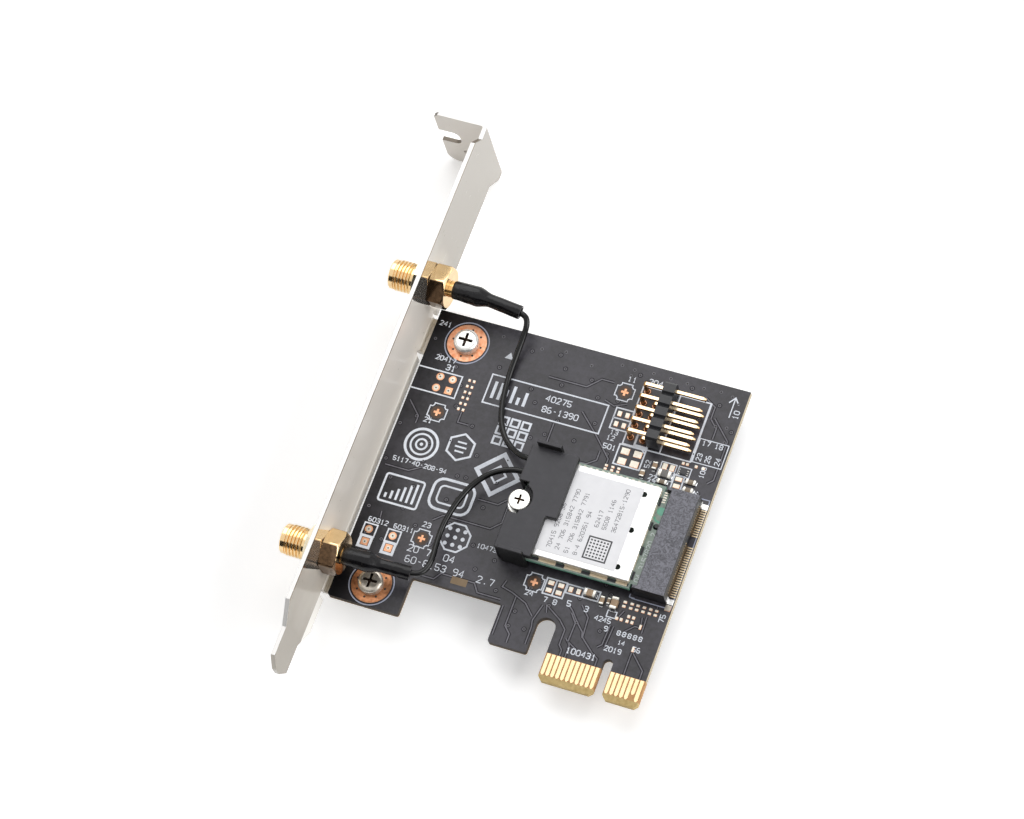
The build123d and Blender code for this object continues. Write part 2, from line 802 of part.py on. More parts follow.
def plug_cover():
    """Moulded cap over the antenna plugs, held under the module's screw by a lug."""
    outline = cover_outline()
    low, high = module_y - cover_w / 2, module_y + cover_w / 2
    upper, lower = cover_x0 + cover_upper_l, cover_x0 + cover_lower_l
    step = module_y + cover_step_y
    rest = shield_top + label_t + cover_rest
    cap = prism_z(outline, module_top + cover_rest, cover_top)
    cap = fillet(cap.edges().filter_by(Axis.Z), cover_edge_r * 2)
    cap = fillet(cap.faces().sort_by(Axis.Z)[-1].edges(), cover_edge_r)
    wall = cover_wall
    cap -= block(cover_x0 + cover_end_wall, lower - wall, low + wall, high - wall, module_top, cover_under)
    cap -= block(lower - wall, upper - wall, step + wall, high - wall, module_top, cover_under)
    cap -= block(shield_x0 - wall, upper, low, high, module_top, rest)
    end_wall = block(cover_x0, module_x - leg_clear, low, high, cover_foot, module_top + 2 * cover_rest)
    cap += fillet(end_wall.edges().filter_by(Axis.Z), cover_edge_r)
    notch_y0, notch_y1 = module_y + cover_notch_low, module_y + cover_notch_high
    notch = block(cover_x0, cover_x0 + cover_notch_in, notch_y0, notch_y1, cover_foot, cover_top)
    notch += post(module_x, module_y, cover_foot, cover_top, cover_notch_r)
    cap -= notch
    cap += lug(notch)
    slot_half = cover_slot_w / 2
    for y in plug_ys:
        cap -= block(cover_x0, cover_x0 + cover_end_wall + cover_wall, y - slot_half, y + slot_half,
                     cover_foot, cover_slot_top)
    leg_x0 = module_x + leg_x
    for side in (-1, 1):
        inner = module_y + side * (module_w / 2 + leg_clear)
        y0, y1 = sorted((inner, inner + side * leg_t))
        leg = block(leg_x0, leg_x0 + leg_l, y0, y1, cover_foot, cover_top + leg_rise)
        cap += fillet(leg.faces().sort_by(Axis.Z)[-1].edges(), leg_t * 0.2)
    return cap


def lug(notch):
    """The lug under the screw head, with the wall that carries it up to the cap."""
    seat = module_top
    rim = cover_notch_r + cover_wall
    top = cover_under + cover_t / 2
    right = block(module_x + lug_back, module_x + rim, module_y - rim, module_y + rim, seat, top)
    wall = (post(module_x, module_y, seat, top, rim) & right) - notch
    plate = post(module_x, module_y, seat, seat + lug_t, rim) & right
    return wall + (plate - post(module_x, module_y, seat, seat + lug_t, module_screw_r + screw_clear))


def standoff():
    """Soldered nut under the module's free end."""
    nut = post(module_x, module_y, 0, module_z, stand_r)
    nut = chamfer(nut.edges().sort_by(Axis.Z)[-1], stand_edge)
    nut += post(module_x, module_y, module_z, module_z + stand_neck_h, stand_neck_r)
    return nut - post(module_x, module_y, 0, module_z + stand_neck_h, module_screw_r)


def module_screw():
    return pan_screw(module_x, module_y, module_top + lug_t, socket_stand, module_screw_r, module_head_r,
                     module_head_h, module_cross)


def column_y(column):
    """Column 0 is the one nearest the card edge."""
    return header_y + (column - (header_columns - 1) / 2) * header_pitch


def header_pad_x(row):
    """Row 0 is the one nearest the board, and its pads are nearest the body."""
    return header_pads_x + (1 - row) * header_pitch


def header_row_z(row):
    return header_pitch * (row + 0.5)


def header_places(row):
    return list(range(header_columns - (header_blanks if row == 0 else 0)))


def header_pins(row):
    """Square pins, turned down into the board behind the body and tapered at the free end."""
    half = header_pin / 2
    x0, z = header_pad_x(row), header_row_z(row)
    shoulder = header_pin_end - header_tip
    pins = []
    for column in header_places(row):
        y = column_y(column)
        pin = block(x0 - half, shoulder, y - half, y + half, z - half, z + half)
        pin += block(x0 - half, x0 + half, y - half, y + half, board_back - header_tail, z + half)
        bend = upright_edges(pin, x0 - half)[-1]
        pin = fillet(bend, header_bend_r)
        ends = ((shoulder, header_pin), (header_pin_end, header_tip_w))
        pins.append(pin + loft([Plane(origin=(x, y, z), z_dir=(1, 0, 0)) * Rectangle(w, w) for x, w in ends]))
    return pins


def header_body():
    """Five segments with breaking grooves between them, bored for the pins."""
    half = header_pitch / 2
    lower, upper = [], []
    for column in range(header_columns):
        y = column_y(column)
        lower += [(y - half, header_v), (y - half + header_v, 0), (y + half - header_v, 0)]
        upper += [(y - half, header_body_h - header_v), (y - half + header_v, header_body_h),
                  (y + half - header_v, header_body_h)]
    last = column_y(header_columns - 1) + half
    outline = lower + [(last, header_v), (last, header_body_h - header_v)] + upper[::-1]
    x0 = header_pad_x(0) + header_stand
    body = prism_x(outline, x0, x0 + header_body_l)
    pin = header_pin / 2
    for row in range(2):
        for column in range(header_columns):
            y, z = column_y(column), header_row_z(row)
            body -= block(x0, x0 + header_body_l, y - pin, y + pin, z - pin, z + pin)
    return body


def chip(x, y, length, width, height, axis):
    """Chip part with a plated cap at each end."""
    cap = length * cap_share
    body = block(-length / 2 + cap, length / 2 - cap, -width / 2, width / 2, 0, height)
    for side in (-1, 1):
        x0, x1 = sorted((side * length / 2, side * (length / 2 - cap)))
        body += block(x0, x1, -width / 2 - cap_proud, width / 2 + cap_proud, 0, height + cap_proud)
    return Pos(x, y, 0) * Rot(0, 0, 90 if axis == "y" else 0) * body


def regulator():
    """Small six-lead part near the card socket."""
    x, y = regulator_at
    lx, ly, lz = regulator_size
    stand = regulator_lead[2] / 2
    body = block(x - lx / 2, x + lx / 2, y - ly / 2, y + ly / 2, stand, lz)
    wide, reach, thick = regulator_lead
    for side in (-1, 1):
        for k in (-1, 0, 1):
            yk = y + k * regulator_pitch
            x0, x1 = sorted((x + side * lx / 2, x + side * (lx / 2 + reach)))
            body += block(x0, x1, yk - wide / 2, yk + wide / 2, 0, thick)
    return body


def write(name, shapes):
    """One STEP file for a node; a list becomes a group of separate solids."""
    if not isinstance(shapes, list):
        shapes = [shapes]
    solids = [s for shape in shapes for s in shape.solids()]
    whole = solids[0] if len(solids) == 1 else Compound(children=solids)
    export_step(whole, os.path.join("parts", name + ".step"))


def build():
    os.makedirs("parts", exist_ok=True)
    write("main_board", main_board())
    write("edge_contacts_front", edge_contacts(0, contact_t))
    write("edge_contacts_back", edge_contacts(board_back - contact_t, board_back))
    write("ground_rings", ground_rings())
    write("bracket", bracket())
    write("bracket_screws", bracket_screws())
    for index, place in enumerate(("upper", "lower")):
        y, turn = port_ys[index], port_turns[index]
        write("antenna_port_" + place, connector_body(y, turn))
        write("port_insulator_" + place, connector_insulator(y))
        write("port_pin_" + place, connector_pin(y))
        write("lock_washer_" + place, lock_washer(y))
        write("port_nut_" + place, connector_nut(y, turn))
        write("crimp_ferrule_" + place, crimp_ferrule(y))
        write("heat_shrink_" + place, heat_shrink(index))
        write("coax_lead_" + place, lead(index))
        write("antenna_plug_" + place, antenna_plug(index))
    write("module_board", module_board())
    write("module_contacts", module_contacts())
    write("module_shield", module_shield())
    write("module_label", module_label())
    write("radio_chip", on_module(radio_at, radio_size))
    write("amplifier_chips", [on_module(at, amplifier_size) for at in amplifiers_at])
    write("module_crystal", on_module(crystal_at, crystal_size))
    write("antenna_jacks", antenna_jacks())
    write("socket_housing", socket_housing())
    write("socket_springs_upper", upper_springs())
    write("socket_springs_lower", lower_springs())
    write("socket_hold_downs", hold_downs())
    write("plug_cover", plug_cover())
    write("module_standoff", standoff())
    write("module_screw", module_screw())
    write("header_body", header_body())
    write("header_pins_upper", header_pins(1))
    write("header_pins_lower", header_pins(0))
    write("chip_capacitors", [chip(*c) for c in capacitors])
    write("chip_resistors", [chip(*c) for c in resistors])
    write("power_inductor", chip(*inductor))
    write("voltage_regulator", regulator())


build()
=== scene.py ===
import math
import random

import bmesh
import bpy
from mathutils import Matrix, Vector, noise


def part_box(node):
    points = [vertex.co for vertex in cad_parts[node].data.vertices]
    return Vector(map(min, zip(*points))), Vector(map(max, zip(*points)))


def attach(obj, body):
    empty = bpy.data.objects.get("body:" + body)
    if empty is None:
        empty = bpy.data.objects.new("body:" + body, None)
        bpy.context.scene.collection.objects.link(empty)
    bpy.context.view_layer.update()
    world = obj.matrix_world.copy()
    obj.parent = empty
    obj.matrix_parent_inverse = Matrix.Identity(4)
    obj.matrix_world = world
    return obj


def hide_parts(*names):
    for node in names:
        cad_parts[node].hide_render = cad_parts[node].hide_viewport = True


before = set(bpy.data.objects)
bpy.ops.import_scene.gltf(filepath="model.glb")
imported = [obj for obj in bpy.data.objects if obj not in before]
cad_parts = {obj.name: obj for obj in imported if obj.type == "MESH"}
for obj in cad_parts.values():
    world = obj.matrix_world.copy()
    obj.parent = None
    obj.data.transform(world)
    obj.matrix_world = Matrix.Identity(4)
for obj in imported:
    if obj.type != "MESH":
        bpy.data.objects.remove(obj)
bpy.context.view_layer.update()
MM = 0.001


# Camera and light

def new_object(name, data):
    obj = bpy.data.objects.new(name, data)
    bpy.context.scene.collection.objects.link(obj)
    return obj


def make_camera():
    camera = new_object("camera", bpy.data.cameras.new("camera"))
    camera.data.sensor_width = 36.0
    camera.data.lens = 119.94
    right, up, back = (0.9265, 0.3419, -0.1572), (-0.2546, 0.8771, 0.4073), (0.2772, -0.3374, 0.8996)
    turn = Matrix((right, up, back)).transposed().to_4x4()
    camera.matrix_world = Matrix.Translation((0.1621, -0.1758, 0.6062)) @ turn
    bpy.context.scene.camera = camera


def make_lamp(name, place, aim, size, watts):
    data = bpy.data.lights.new(name, "AREA")
    data.shape = "RECTANGLE"
    data.size, data.size_y = size
    data.energy = watts
    lamp = new_object(name, data)
    lamp.location = place
    lamp.rotation_euler = (Vector(aim) - Vector(place)).to_track_quat("-Z", "Y").to_euler()


# Material helpers

def linear(colour):
    """An sRGB colour of 0 to 255 as the linear colour that a shader takes."""
    parts = [c / 255 for c in colour]
    return (*[c / 12.92 if c < 0.0405 else ((c + 0.055) / 1.055) ** 2.4 for c in parts], 1.0)


class Nodes:
    """Short calls for the nodes that one node tree is built from."""

    def __init__(self, tree):
        self.tree = tree

    def join(self, node, key, value):
        if isinstance(value, bpy.types.NodeSocket):
            self.tree.links.new(value, node.inputs[key])
        else:
            node.inputs[key].default_value = value

    def add(self, kind, inputs=None, **settings):
        node = self.tree.nodes.new("ShaderNode" + kind)
        for key, value in settings.items():
            setattr(node, key, value)
        for key, value in (inputs or {}).items():
            self.join(node, key, value)
        return node

    def math(self, kind, a, b=0.0, clamp=False):
        return self.add("Math", {0: a, 1: b}, operation=kind, use_clamp=clamp).outputs[0]

    def above(self, value, limit):
        """1 where a value is over the limit, and 0 elsewhere."""
        return self.math("GREATER_THAN", value, limit)

    def below(self, value, limit):
        return self.math("LESS_THAN", value, limit)

    def times(self, first, *others):
        """The product of numbers, which for masks is 1 where all of them are 1."""
        for other in others:
            first = self.math("MULTIPLY", first, other)
        return first

    def most(self, first, *others):
        """The greatest of some numbers, which for masks is 1 where any of them is 1."""
        for other in others:
            first = self.math("MAXIMUM", first, other)
        return first

    def spread(self, factor, low, high):
        """A number that runs from low to high with the factor."""
        return self.add("MapRange", {"Value": factor, "To Min": low, "To Max": high}).outputs[0]

    def seen(self):
        """1 for the rays that show a thing or mirror it, and 0 for those that only light it."""
        path = self.add("LightPath").outputs
        return self.most(path["Is Camera Ray"], path["Is Glossy Ray"], path["Is Transmission Ray"])


class Shade(Nodes):
    """One procedural material, with the surface that its nodes lead to."""

    def __init__(self, name, colour, rough, metal=0.0, **more):
        self.material = bpy.data.materials.new(name)
        self.material.use_nodes = True
        super().__init__(self.material.node_tree)
        self.shader = self.tree.nodes["Principled BSDF"]
        self.set(Base_Color=linear(colour), Roughness=rough, Metallic=metal, **more)
        self.normal = None

    def set(self, **values):
        for key, value in values.items():
            self.join(self.shader, key.replace("_", " "), value)

    def coords(self, stretch=(1, 1, 1)):
        """Places in millimetres of the part's own frame, stretched along the axes."""
        source = self.add("TexCoord").outputs["Object"]
        scale = [s / MM for s in stretch]
        return self.add("Mapping", {"Vector": source, "Scale": scale}).outputs["Vector"]

    def xyz(self, vector):
        return self.add("SeparateXYZ", {0: vector}).outputs

    def place(self):
        return self.xyz(self.coords())

    def facing(self):
        """The way that the surface faces, as X, Y and Z."""
        return self.xyz(self.add("NewGeometry").outputs["Normal"])

    def noise(self, size, stretch=(1, 1, 1), detail=2.0):
        inputs = {"Vector": self.coords(stretch), "Scale": 1 / size, "Detail": detail}
        return self.add("TexNoise", inputs).outputs["Fac"]

    def ramp(self, factor, stops):
        node = self.add("ValToRGB", {"Fac": factor})
        marks = node.color_ramp.elements
        while len(marks) < len(stops):
            marks.new(0.5)
        for mark, (place, colour) in zip(marks, stops):
            mark.position = place
            mark.color = linear(colour)
        return node.outputs["Color"]

    def blend(self, factor, low, high, start=0.3):
        """A colour that runs from low to high over the middle of the factor."""
        return self.ramp(factor, [(start, low), (1 - start, high)])

    def mix(self, factor, a, b):
        node = self.add("Mix", {0: factor}, data_type="RGBA")
        for key, value in ((6, a), (7, b)):
            self.join(node, key, linear(value) if isinstance(value, tuple) else value)
        return node.outputs[2]

    def recolour(self, mask, colour):
        """Lays a colour over the base colour where the mask is 1."""
        under = self.shader.inputs["Base Color"].links[0].from_socket
        self.set(Base_Color=self.mix(mask, under, colour))

    def gloss(self, factor, low, high):
        self.set(Roughness=self.spread(factor, low, high))

    def bevel(self, radius):
        """Rounds hard edges in the shading."""
        self.normal = self.add("Bevel", {"Radius": radius * MM}, samples=4).outputs["Normal"]
        self.set(Normal=self.normal)

    def bump(self, height, depth):
        """Raises and sinks the surface by depth millimetres."""
        inputs = {"Height": height, "Distance": depth * MM}
        if self.normal:
            inputs["Normal"] = self.normal
        self.normal = self.add("Bump", inputs).outputs["Normal"]
        self.set(Normal=self.normal)

    def coat(self, colour, vary, tone_size, edge):
        """Small changes of tone, and softened edges."""
        low, high = (tuple(max(0, min(255, c + step)) for c in colour) for step in (-vary, vary))
        self.set(Base_Color=self.blend(self.noise(tone_size, detail=3.0), low, high))
        if edge:
            self.bevel(edge)


def plastic(name, colour, rough, grain=0.25, depth=0.01, vary=6, edge=0.08, **more):
    """A moulded plastic: small changes of tone, an uneven gloss and a fine grain."""
    shade = Shade(name, colour, rough, **more)
    shade.coat(colour, vary, 2.2, edge)
    shade.gloss(shade.noise(0.7), rough - 0.07, rough + 0.07)
    shade.bump(shade.noise(grain, detail=3.0), depth)
    return shade


def metal(name, colour, rough, grain=0.3, depth=0.003, vary=8, edge=0.06):
    """A plated metal: small changes of tone, an uneven gloss and softened edges."""
    shade = Shade(name, colour, rough, metal=1.0)
    shade.coat(colour, vary, 1.6, edge)
    lines = shade.noise(grain, detail=4.0)
    shade.gloss(lines, rough * 0.75, rough * 1.3)
    shade.bump(lines, depth)
    return shade


def dress(shade, *nodes):
    """Gives carried-over CAD nodes their material."""
    for name in nodes:
        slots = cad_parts[name].data.materials
        slots.clear()
        slots.append(shade.material)


# Mesh helpers

def piece(name, data, shade, replaced=()):
    data.materials.append(shade.material)
    obj = new_object(name, data)
    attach(obj, "root")
    if replaced:
        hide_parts(*replaced)
    return obj


def mesh_piece(name, bm, shade, replaced=(), smooth=None):
    """A piece from a bmesh in millimetres, shaded smooth below an angle in degrees."""
    bmesh.ops.scale(bm, vec=(MM, MM, MM), verts=bm.verts)
    bmesh.ops.recalc_face_normals(bm, faces=bm.faces)
    if smooth:
        for face in bm.faces:
            face.smooth = True
        for edge in bm.edges:
            edge.smooth = len(edge.link_faces) == 2 and edge.calc_face_angle() < math.radians(smooth)
    data = bpy.data.meshes.new(name)
    bm.to_mesh(data)
    bm.free()
    return piece(name, data, shade, replaced)


def skin(bm, rings):
    """Joins rings of the same number of points into one closed solid."""
    loops = [[bm.verts.new(point) for point in ring] for ring in rings]
    count = len(loops[0])
    for low, high in zip(loops, loops[1:]):
        for i in range(count):
            j = (i + 1) % count
            bm.faces.new((low[i], low[j], high[j], high[i]))
    bm.faces.new(reversed(loops[0]))
    bm.faces.new(loops[-1])


def circle(centre, axis_x, axis_y, radius, sides):
    """Points round a centre; radius is a number or a function of the angle."""
    ring = []
    for i in range(sides):
        angle = 2 * math.pi * i / sides
        r = radius(angle) if callable(radius) else radius
        ring.append(centre + r * math.cos(angle) * axis_x + r * math.sin(angle) * axis_y)
    return ring


def rounded_box(bm, low, high, edge):
    size = [b - a for a, b in zip(low, high)]
    middle = [(a + b) / 2 for a, b in zip(low, high)]
    matrix = Matrix.Translation(middle) @ Matrix.Diagonal((*size, 1))
    verts = bmesh.ops.create_cube(bm, size=1.0, matrix=matrix)["verts"]
    edges = list({e for v in verts for e in v.link_edges})
    bmesh.ops.bevel(bm, geom=edges, offset=edge, segments=2, profile=0.5, affect="EDGES")


make_camera()


# Leads

lead_d = 1.20
upper_route = (
    (-29.933, 69.986, 5.181), (-27.764, 69.828, 4.849), (-26.85, 68.40, 4.30),
    (-27.05, 66.20, 2.90), (-27.40, 62.80, 1.50), (-27.50, 58.60, 1.00),
    (-27.10, 53.60, 0.85), (-25.95, 48.90, 0.90), (-23.90, 45.20, 1.30),
    (-21.00, 42.75, 2.20), (-18.70, 41.50, 3.30), (-16.45, 41.10, 4.00),
    (-14.25, 41.10, 4.00),
)
lower_route = (
    (-31.570, 11.646, 4.749), (-29.425, 11.818, 4.292), (-28.00, 13.10, 4.00),
    (-27.50, 15.70, 3.70), (-28.05, 19.30, 3.40), (-28.25, 23.60, 3.20),
    (-27.40, 28.70, 3.20), (-25.60, 33.10, 3.45), (-22.90, 36.25, 3.75),
    (-19.50, 37.95, 3.95), (-16.45, 38.30, 4.00), (-14.25, 38.30, 4.00),
)

jacket = plastic("black_jacket", (7, 7, 8), 0.11, grain=1.4, depth=0.008, vary=3, edge=0,
                 Specular_IOR_Level=0.32)


def make_lead(side, route):
    data = bpy.data.curves.new("lead_" + side, "CURVE")
    data.dimensions = "3D"
    data.bevel_depth = lead_d / 2 * MM
    data.bevel_resolution = 8
    data.resolution_u = 16
    data.use_fill_caps = True
    spline = data.splines.new("NURBS")
    spline.points.add(len(route) - 1)
    for point, place in zip(spline.points, route):
        point.co = (*[c * MM for c in place], 1.0)
    spline.order_u = 3
    spline.use_endpoint_u = True
    lead = piece("lead_" + side, data, jacket, ["coax_lead_" + side])


make_lead("upper", upper_route)
make_lead("lower", lower_route)


# Shrink sleeves

sleeve = plastic("shrink_sleeve", (13, 12, 15), 0.25, grain=1.3, depth=0.10, vary=4, edge=0,
                 Specular_IOR_Level=0.30)
sleeve.bump(sleeve.noise(0.55, stretch=(0.35, 1, 1), detail=3.0), 0.045)
# The faces that turn to +X, round the sleeve's mouth, are painted lighter: a painted highlight.
sleeve.recolour(sleeve.above(sleeve.facing()["X"], 0.8), (86, 84, 88))
sleeve_start_r, sleeve_wide_r, sleeve_neck_r, sleeve_end_r, sleeve_bore_r = 1.85, 1.93, 1.34, 1.42, 1.05
sleeve_lip = ((-0.05, sleeve_end_r - 0.07), (-0.02, sleeve_end_r - 0.16),
              (0.02, sleeve_bore_r + 0.05), (0.12, sleeve_bore_r), (1.20, sleeve_bore_r))


def bezier(points, t):
    while len(points) > 1:
        points = [a.lerp(b, t) for a, b in zip(points, points[1:])]
    return points[0]


def ease(x, low, high):
    t = max(0.0, min(1.0, (x - low) / (high - low)))
    return t * t * (3 - 2 * t)


def square_to(ahead):
    """The level and the rising direction that are square to a way ahead."""
    across = ahead.cross(Vector((0, 0, 1))).normalized()
    return across, across.cross(ahead)


def sleeve_radius(x, t, start_x, wide_x, neck_x, end_x):
    """The tube's radius without its folds: full over the ferrule and drawn in past it."""
    r = sleeve_start_r + (sleeve_wide_r - sleeve_start_r) * ease(x, start_x, wide_x - 1.5)
    r += 0.07 * math.exp(-((x - wide_x + 0.5) / 0.7) ** 2)
    r += (sleeve_neck_r - r) * ease(x, wide_x - 0.3, neck_x + 0.5)
    r += (sleeve_end_r - sleeve_neck_r) * ease(x, neck_x + 0.5, end_x)
    return r - 0.10 * max(0.0, 1 - t / 0.012)


def make_sleeve(side, points, seed, steps=110, sides=56):
    """A shrunk tube that is open at its mouth."""
    points = [Vector(p) for p in points]
    straight = Vector((points[1].x + 0.6, points[0].y, points[0].z))
    bend = [points[0], straight, points[2], points[3]]
    rings = []
    for i in range(steps + 1):
        t = i / steps
        centre = bezier(bend, t)
        ahead = (bezier(bend, min(1, t + 0.01)) - bezier(bend, max(0, t - 0.01))).normalized()
        r, x = sleeve_radius(centre.x, t, *[p.x for p in points]), centre.x

        def folded(angle, r=r, x=x):
            spot = Vector((x * 0.55, 1.3 * math.cos(angle), 1.3 * math.sin(angle) + seed))
            fold = Vector((x * 0.25, 3.0 * math.cos(angle), 3.0 * math.sin(angle) - seed))
            return r * (1.016 + 0.026 * noise.noise(spot) + 0.020 * noise.noise(fold))

        rings.append(circle(centre, *square_to(ahead), folded, sides))
    lip = (points[3] - points[2]).normalized()
    for back, r in sleeve_lip:
        rings.append(circle(points[3] - back * lip, *square_to(lip), r, sides))
    bm = bmesh.new()
    skin(bm, rings)
    mesh_piece("sleeve_" + side, bm, sleeve, ["heat_shrink_" + side], 50)


make_sleeve("upper", ((-42.95, 70.45, 6.30), (-37.50, 70.45, 6.25), (-35.60, 70.40, 6.05),
                      (-28.75, 69.90, 5.00)), 3.1)
make_sleeve("lower", ((-43.65, 10.95, 6.30), (-38.30, 11.15, 6.05), (-36.50, 11.25, 5.80),
                      (-30.40, 11.74, 4.50)), 7.7)


# Antenna ports

gold = metal("gold_plate", (240, 208, 158), 0.15, grain=0.25, depth=0.002, vary=7)
port_ys, port_z, port_turns = {"upper": 70.45, "lower": 10.95}, 6.30, {"upper": 101.0, "lower": 88.5}
thread_crest_r, thread_root_r, thread_pitch = 3.175, 2.80, 0.7056
thread_end_x, thread_start_x, thread_lead = -56.31, -51.55, 0.40
plain_end, plain_end_r = 1.10, 3.02
hex_x0, hex_x1, hex_af, hex_bevel = -47.35, -43.75, 8.0, 0.45
hex_front_bevel, corner_cut, flat_proud = 0.28, 0.64, 0.02
bore_floor_x, bore_mouth_x, bore_r = -52.60, -56.16, 2.10
seat_r, seat_depth, tube_r, tube_end_x = 1.72, 0.20, 1.15, -40.55


def hexagon_r(angle, turn):
    """How far a hexagon's side is from its middle at an angle."""
    part = (angle - math.radians(turn) + math.pi / 6) % (math.pi / 3) - math.pi / 6
    return hex_af / 2 / math.cos(part)


def thread_r(x, angle):
    """The thread's radius, with a chamfered and a plain end and a run-out at its start."""
    phase = ((x - thread_end_x) / thread_pitch + angle / (2 * math.pi)) % 1.0
    crest = min(1.0, max(0.0, 2.4 * (1 - abs(2 * phase - 1)) - 0.55))
    crest *= ease(x, thread_start_x, thread_start_x - 0.5)
    crest *= ease(x, thread_end_x + plain_end, thread_end_x + plain_end + 0.3)
    root = plain_end_r if x < thread_end_x + plain_end else thread_root_r
    free = root + (thread_crest_r - root) * crest
    return min(free, thread_crest_r - thread_lead + (x - thread_end_x))


def port_rings(turn, thread_steps=112, bevel_steps=7):
    """The places and radii of a port's rings, from its bore's floor round to its crimp tube."""
    def hexed(edge):
        return lambda angle: min(hexagon_r(angle, turn), hex_af / 2 + edge)

    rings = [(bore_floor_x, 0.6), (bore_floor_x, bore_r), (bore_mouth_x, bore_r),
             (thread_end_x, bore_r + 0.12), (thread_end_x, thread_crest_r - thread_lead - 0.02)]
    for i in range(1, thread_steps + 1):
        x = thread_end_x + (thread_start_x - thread_end_x) * i / thread_steps
        rings.append((x, lambda angle, x=x: thread_r(x, angle)))
    rings += [(thread_start_x + 0.05, thread_root_r), (hex_x0, thread_root_r)]
    for i in range(bevel_steps + 1):
        part = i / bevel_steps
        edge = flat_proud + (corner_cut - flat_proud) * part
        rings.append((hex_x0 + hex_front_bevel * part, hexed(edge)))
    for i in range(bevel_steps):
        part = i / (bevel_steps - 1)
        rings.append((hex_x1 - hex_bevel * (1 - part), hexed(corner_cut * (1 - part) - 0.06 * part)))
    return rings + [(hex_x1, seat_r), (hex_x1 - seat_depth, seat_r - 0.06),
                    (hex_x1 - seat_depth, tube_r), (tube_end_x, tube_r)]


def make_port(side, sides=144):
    cross, rise = Vector((0, 1, 0)), Vector((0, 0, 1))
    bm = bmesh.new()
    skin(bm, [circle(Vector((x, port_ys[side], port_z)), cross, rise, r, sides)
              for x, r in port_rings(port_turns[side] + 30.0)])
    mesh_piece("port_" + side, bm, gold, ["antenna_port_" + side], 32)


def painted_dark_flats(shade):
    """The hexagons' near flats are painted dark brown, a painted dark reflection, and the rest of the
    plating is bright.
    """
    x = shade.place()["X"]
    near = shade.times(shade.below(shade.facing()["Y"], -0.35), shade.above(x, hex_x0),
                       shade.below(x, hex_x1))
    shade.recolour(near, shade.blend(shade.noise(0.6, detail=4.0), (88, 71, 56), (122, 98, 76)))


make_port("upper")
make_port("lower")
painted_dark_flats(gold)


# Small soldered parts

capacitors = (
    (6.70, 47.95, 1.60, 0.85, 0.80, "y"), (4.80, 45.75, 1.35, 0.90, 0.60, "y"),
    (3.55, 19.20, 2.30, 1.30, 1.20, "x"), (6.20, 18.55, 1.70, 0.85, 0.80, "y"),
    (8.75, 18.60, 2.50, 1.30, 1.20, "y"), (7.45, 18.85, 1.30, 0.60, 0.50, "y"),
)
resistors = (
    (9.10, 45.25, 1.90, 0.90, 0.45, "x"), (14.55, 46.65, 2.00, 1.00, 0.50, "x"),
    (14.55, 44.95, 2.00, 0.95, 0.50, "x"),
)
inductors = ((9.15, 46.80, 2.60, 1.40, 0.90, "x"),)
end_share, end_proud = 0.24, 0.03


def chip_box(bm, chip, start, end, side, top, edge):
    """A rounded box over part of a chip's length, start and end as shares of it."""
    x, y, length, width, height, axis = chip
    a, b = length * (start - 0.5), length * (end - 0.5)
    low, high = [a, -width / 2 - side, 0.02], [b, width / 2 + side, height + top]
    if axis == "y":
        low[:2], high[:2] = low[1::-1], high[1::-1]
    rounded_box(bm, [low[0] + x, low[1] + y, low[2]], [high[0] + x, high[1] + y, high[2]], edge)


def chip_fillet(bm, chip, sign):
    """The solder that runs from a chip's end down to its pad."""
    x, y, length, width, height, axis = chip
    rows = []
    for i in range(7):
        t = i / 6
        out = length / 2 - 0.04 + 0.34 * t
        up = 0.04 + 0.72 * height * (1 - t) ** 2.2
        half = width / 2 * (0.90 - 0.10 * t)
        ring = [(out, -half, 0.02), (out, -half * 0.9, up), (out, half * 0.9, up), (out, half, 0.02)]
        rows.append([Vector((x + sign * p[0], y + p[1], p[2])) if axis == "x"
                     else Vector((x + p[1], y + sign * p[0], p[2])) for p in ring])
    skin(bm, rows)


tin = metal("tinned_end", (198, 195, 187), 0.28, grain=0.2, depth=0.01, vary=12, edge=0)
solder = metal("solder_joint", (196, 197, 199), 0.22, grain=0.35, depth=0.01, vary=10, edge=0)
ceramic = plastic("capacitor_ceramic", (172, 146, 118), 0.5, grain=0.12, depth=0.01, vary=10, edge=0)
glaze = plastic("resistor_glaze", (128, 112, 92), 0.30, grain=0.2, depth=0.004, vary=14, edge=0)
ferrite = plastic("ferrite", (116, 113, 110), 0.50, grain=0.1, depth=0.02, vary=9, edge=0)


def make_chips(name, chips, shade, replaced, drop=0.0):
    bm = bmesh.new()
    for chip in chips:
        chip_box(bm, chip, 0.06, 0.94, 0.0, -drop, 0.06)
    mesh_piece(name, bm, shade, [replaced], 40)


make_chips("capacitor_bodies", capacitors, ceramic, "chip_capacitors")
make_chips("resistor_bodies", resistors, glaze, "chip_resistors", 0.03)
make_chips("inductor_body", inductors, ferrite, "power_inductor", 0.04)

ends, joints = bmesh.new(), bmesh.new()
for chip in capacitors + resistors + inductors:
    chip_box(ends, chip, 0.0, end_share, end_proud, end_proud, 0.07)
    chip_box(ends, chip, 1 - end_share, 1.0, end_proud, end_proud, 0.07)
    chip_fillet(joints, chip, 1)
    chip_fillet(joints, chip, -1)
mesh_piece("chip_ends", ends, tin, smooth=40)
mesh_piece("chip_solder", joints, solder, smooth=60)


# Carried-over parts

beside_board_z, beside_board_y, middle_y = 0.3, 67.5, 35.0
plate_rim_z, rim_wide, foot_top_z = 15.54, 0.42, 2.0
slot_x, slot_z = -50.0, 12.0
polished_halves, polished_slant = {"upper": 4.75, "lower": 4.2}, 0.375
dull_metal, polished_metal, polish, scratch_limit = 0.12, 0.90, 0.16, 0.735
plate_low_y, plate_tall, squarely = -15.0, 120.0, 0.5


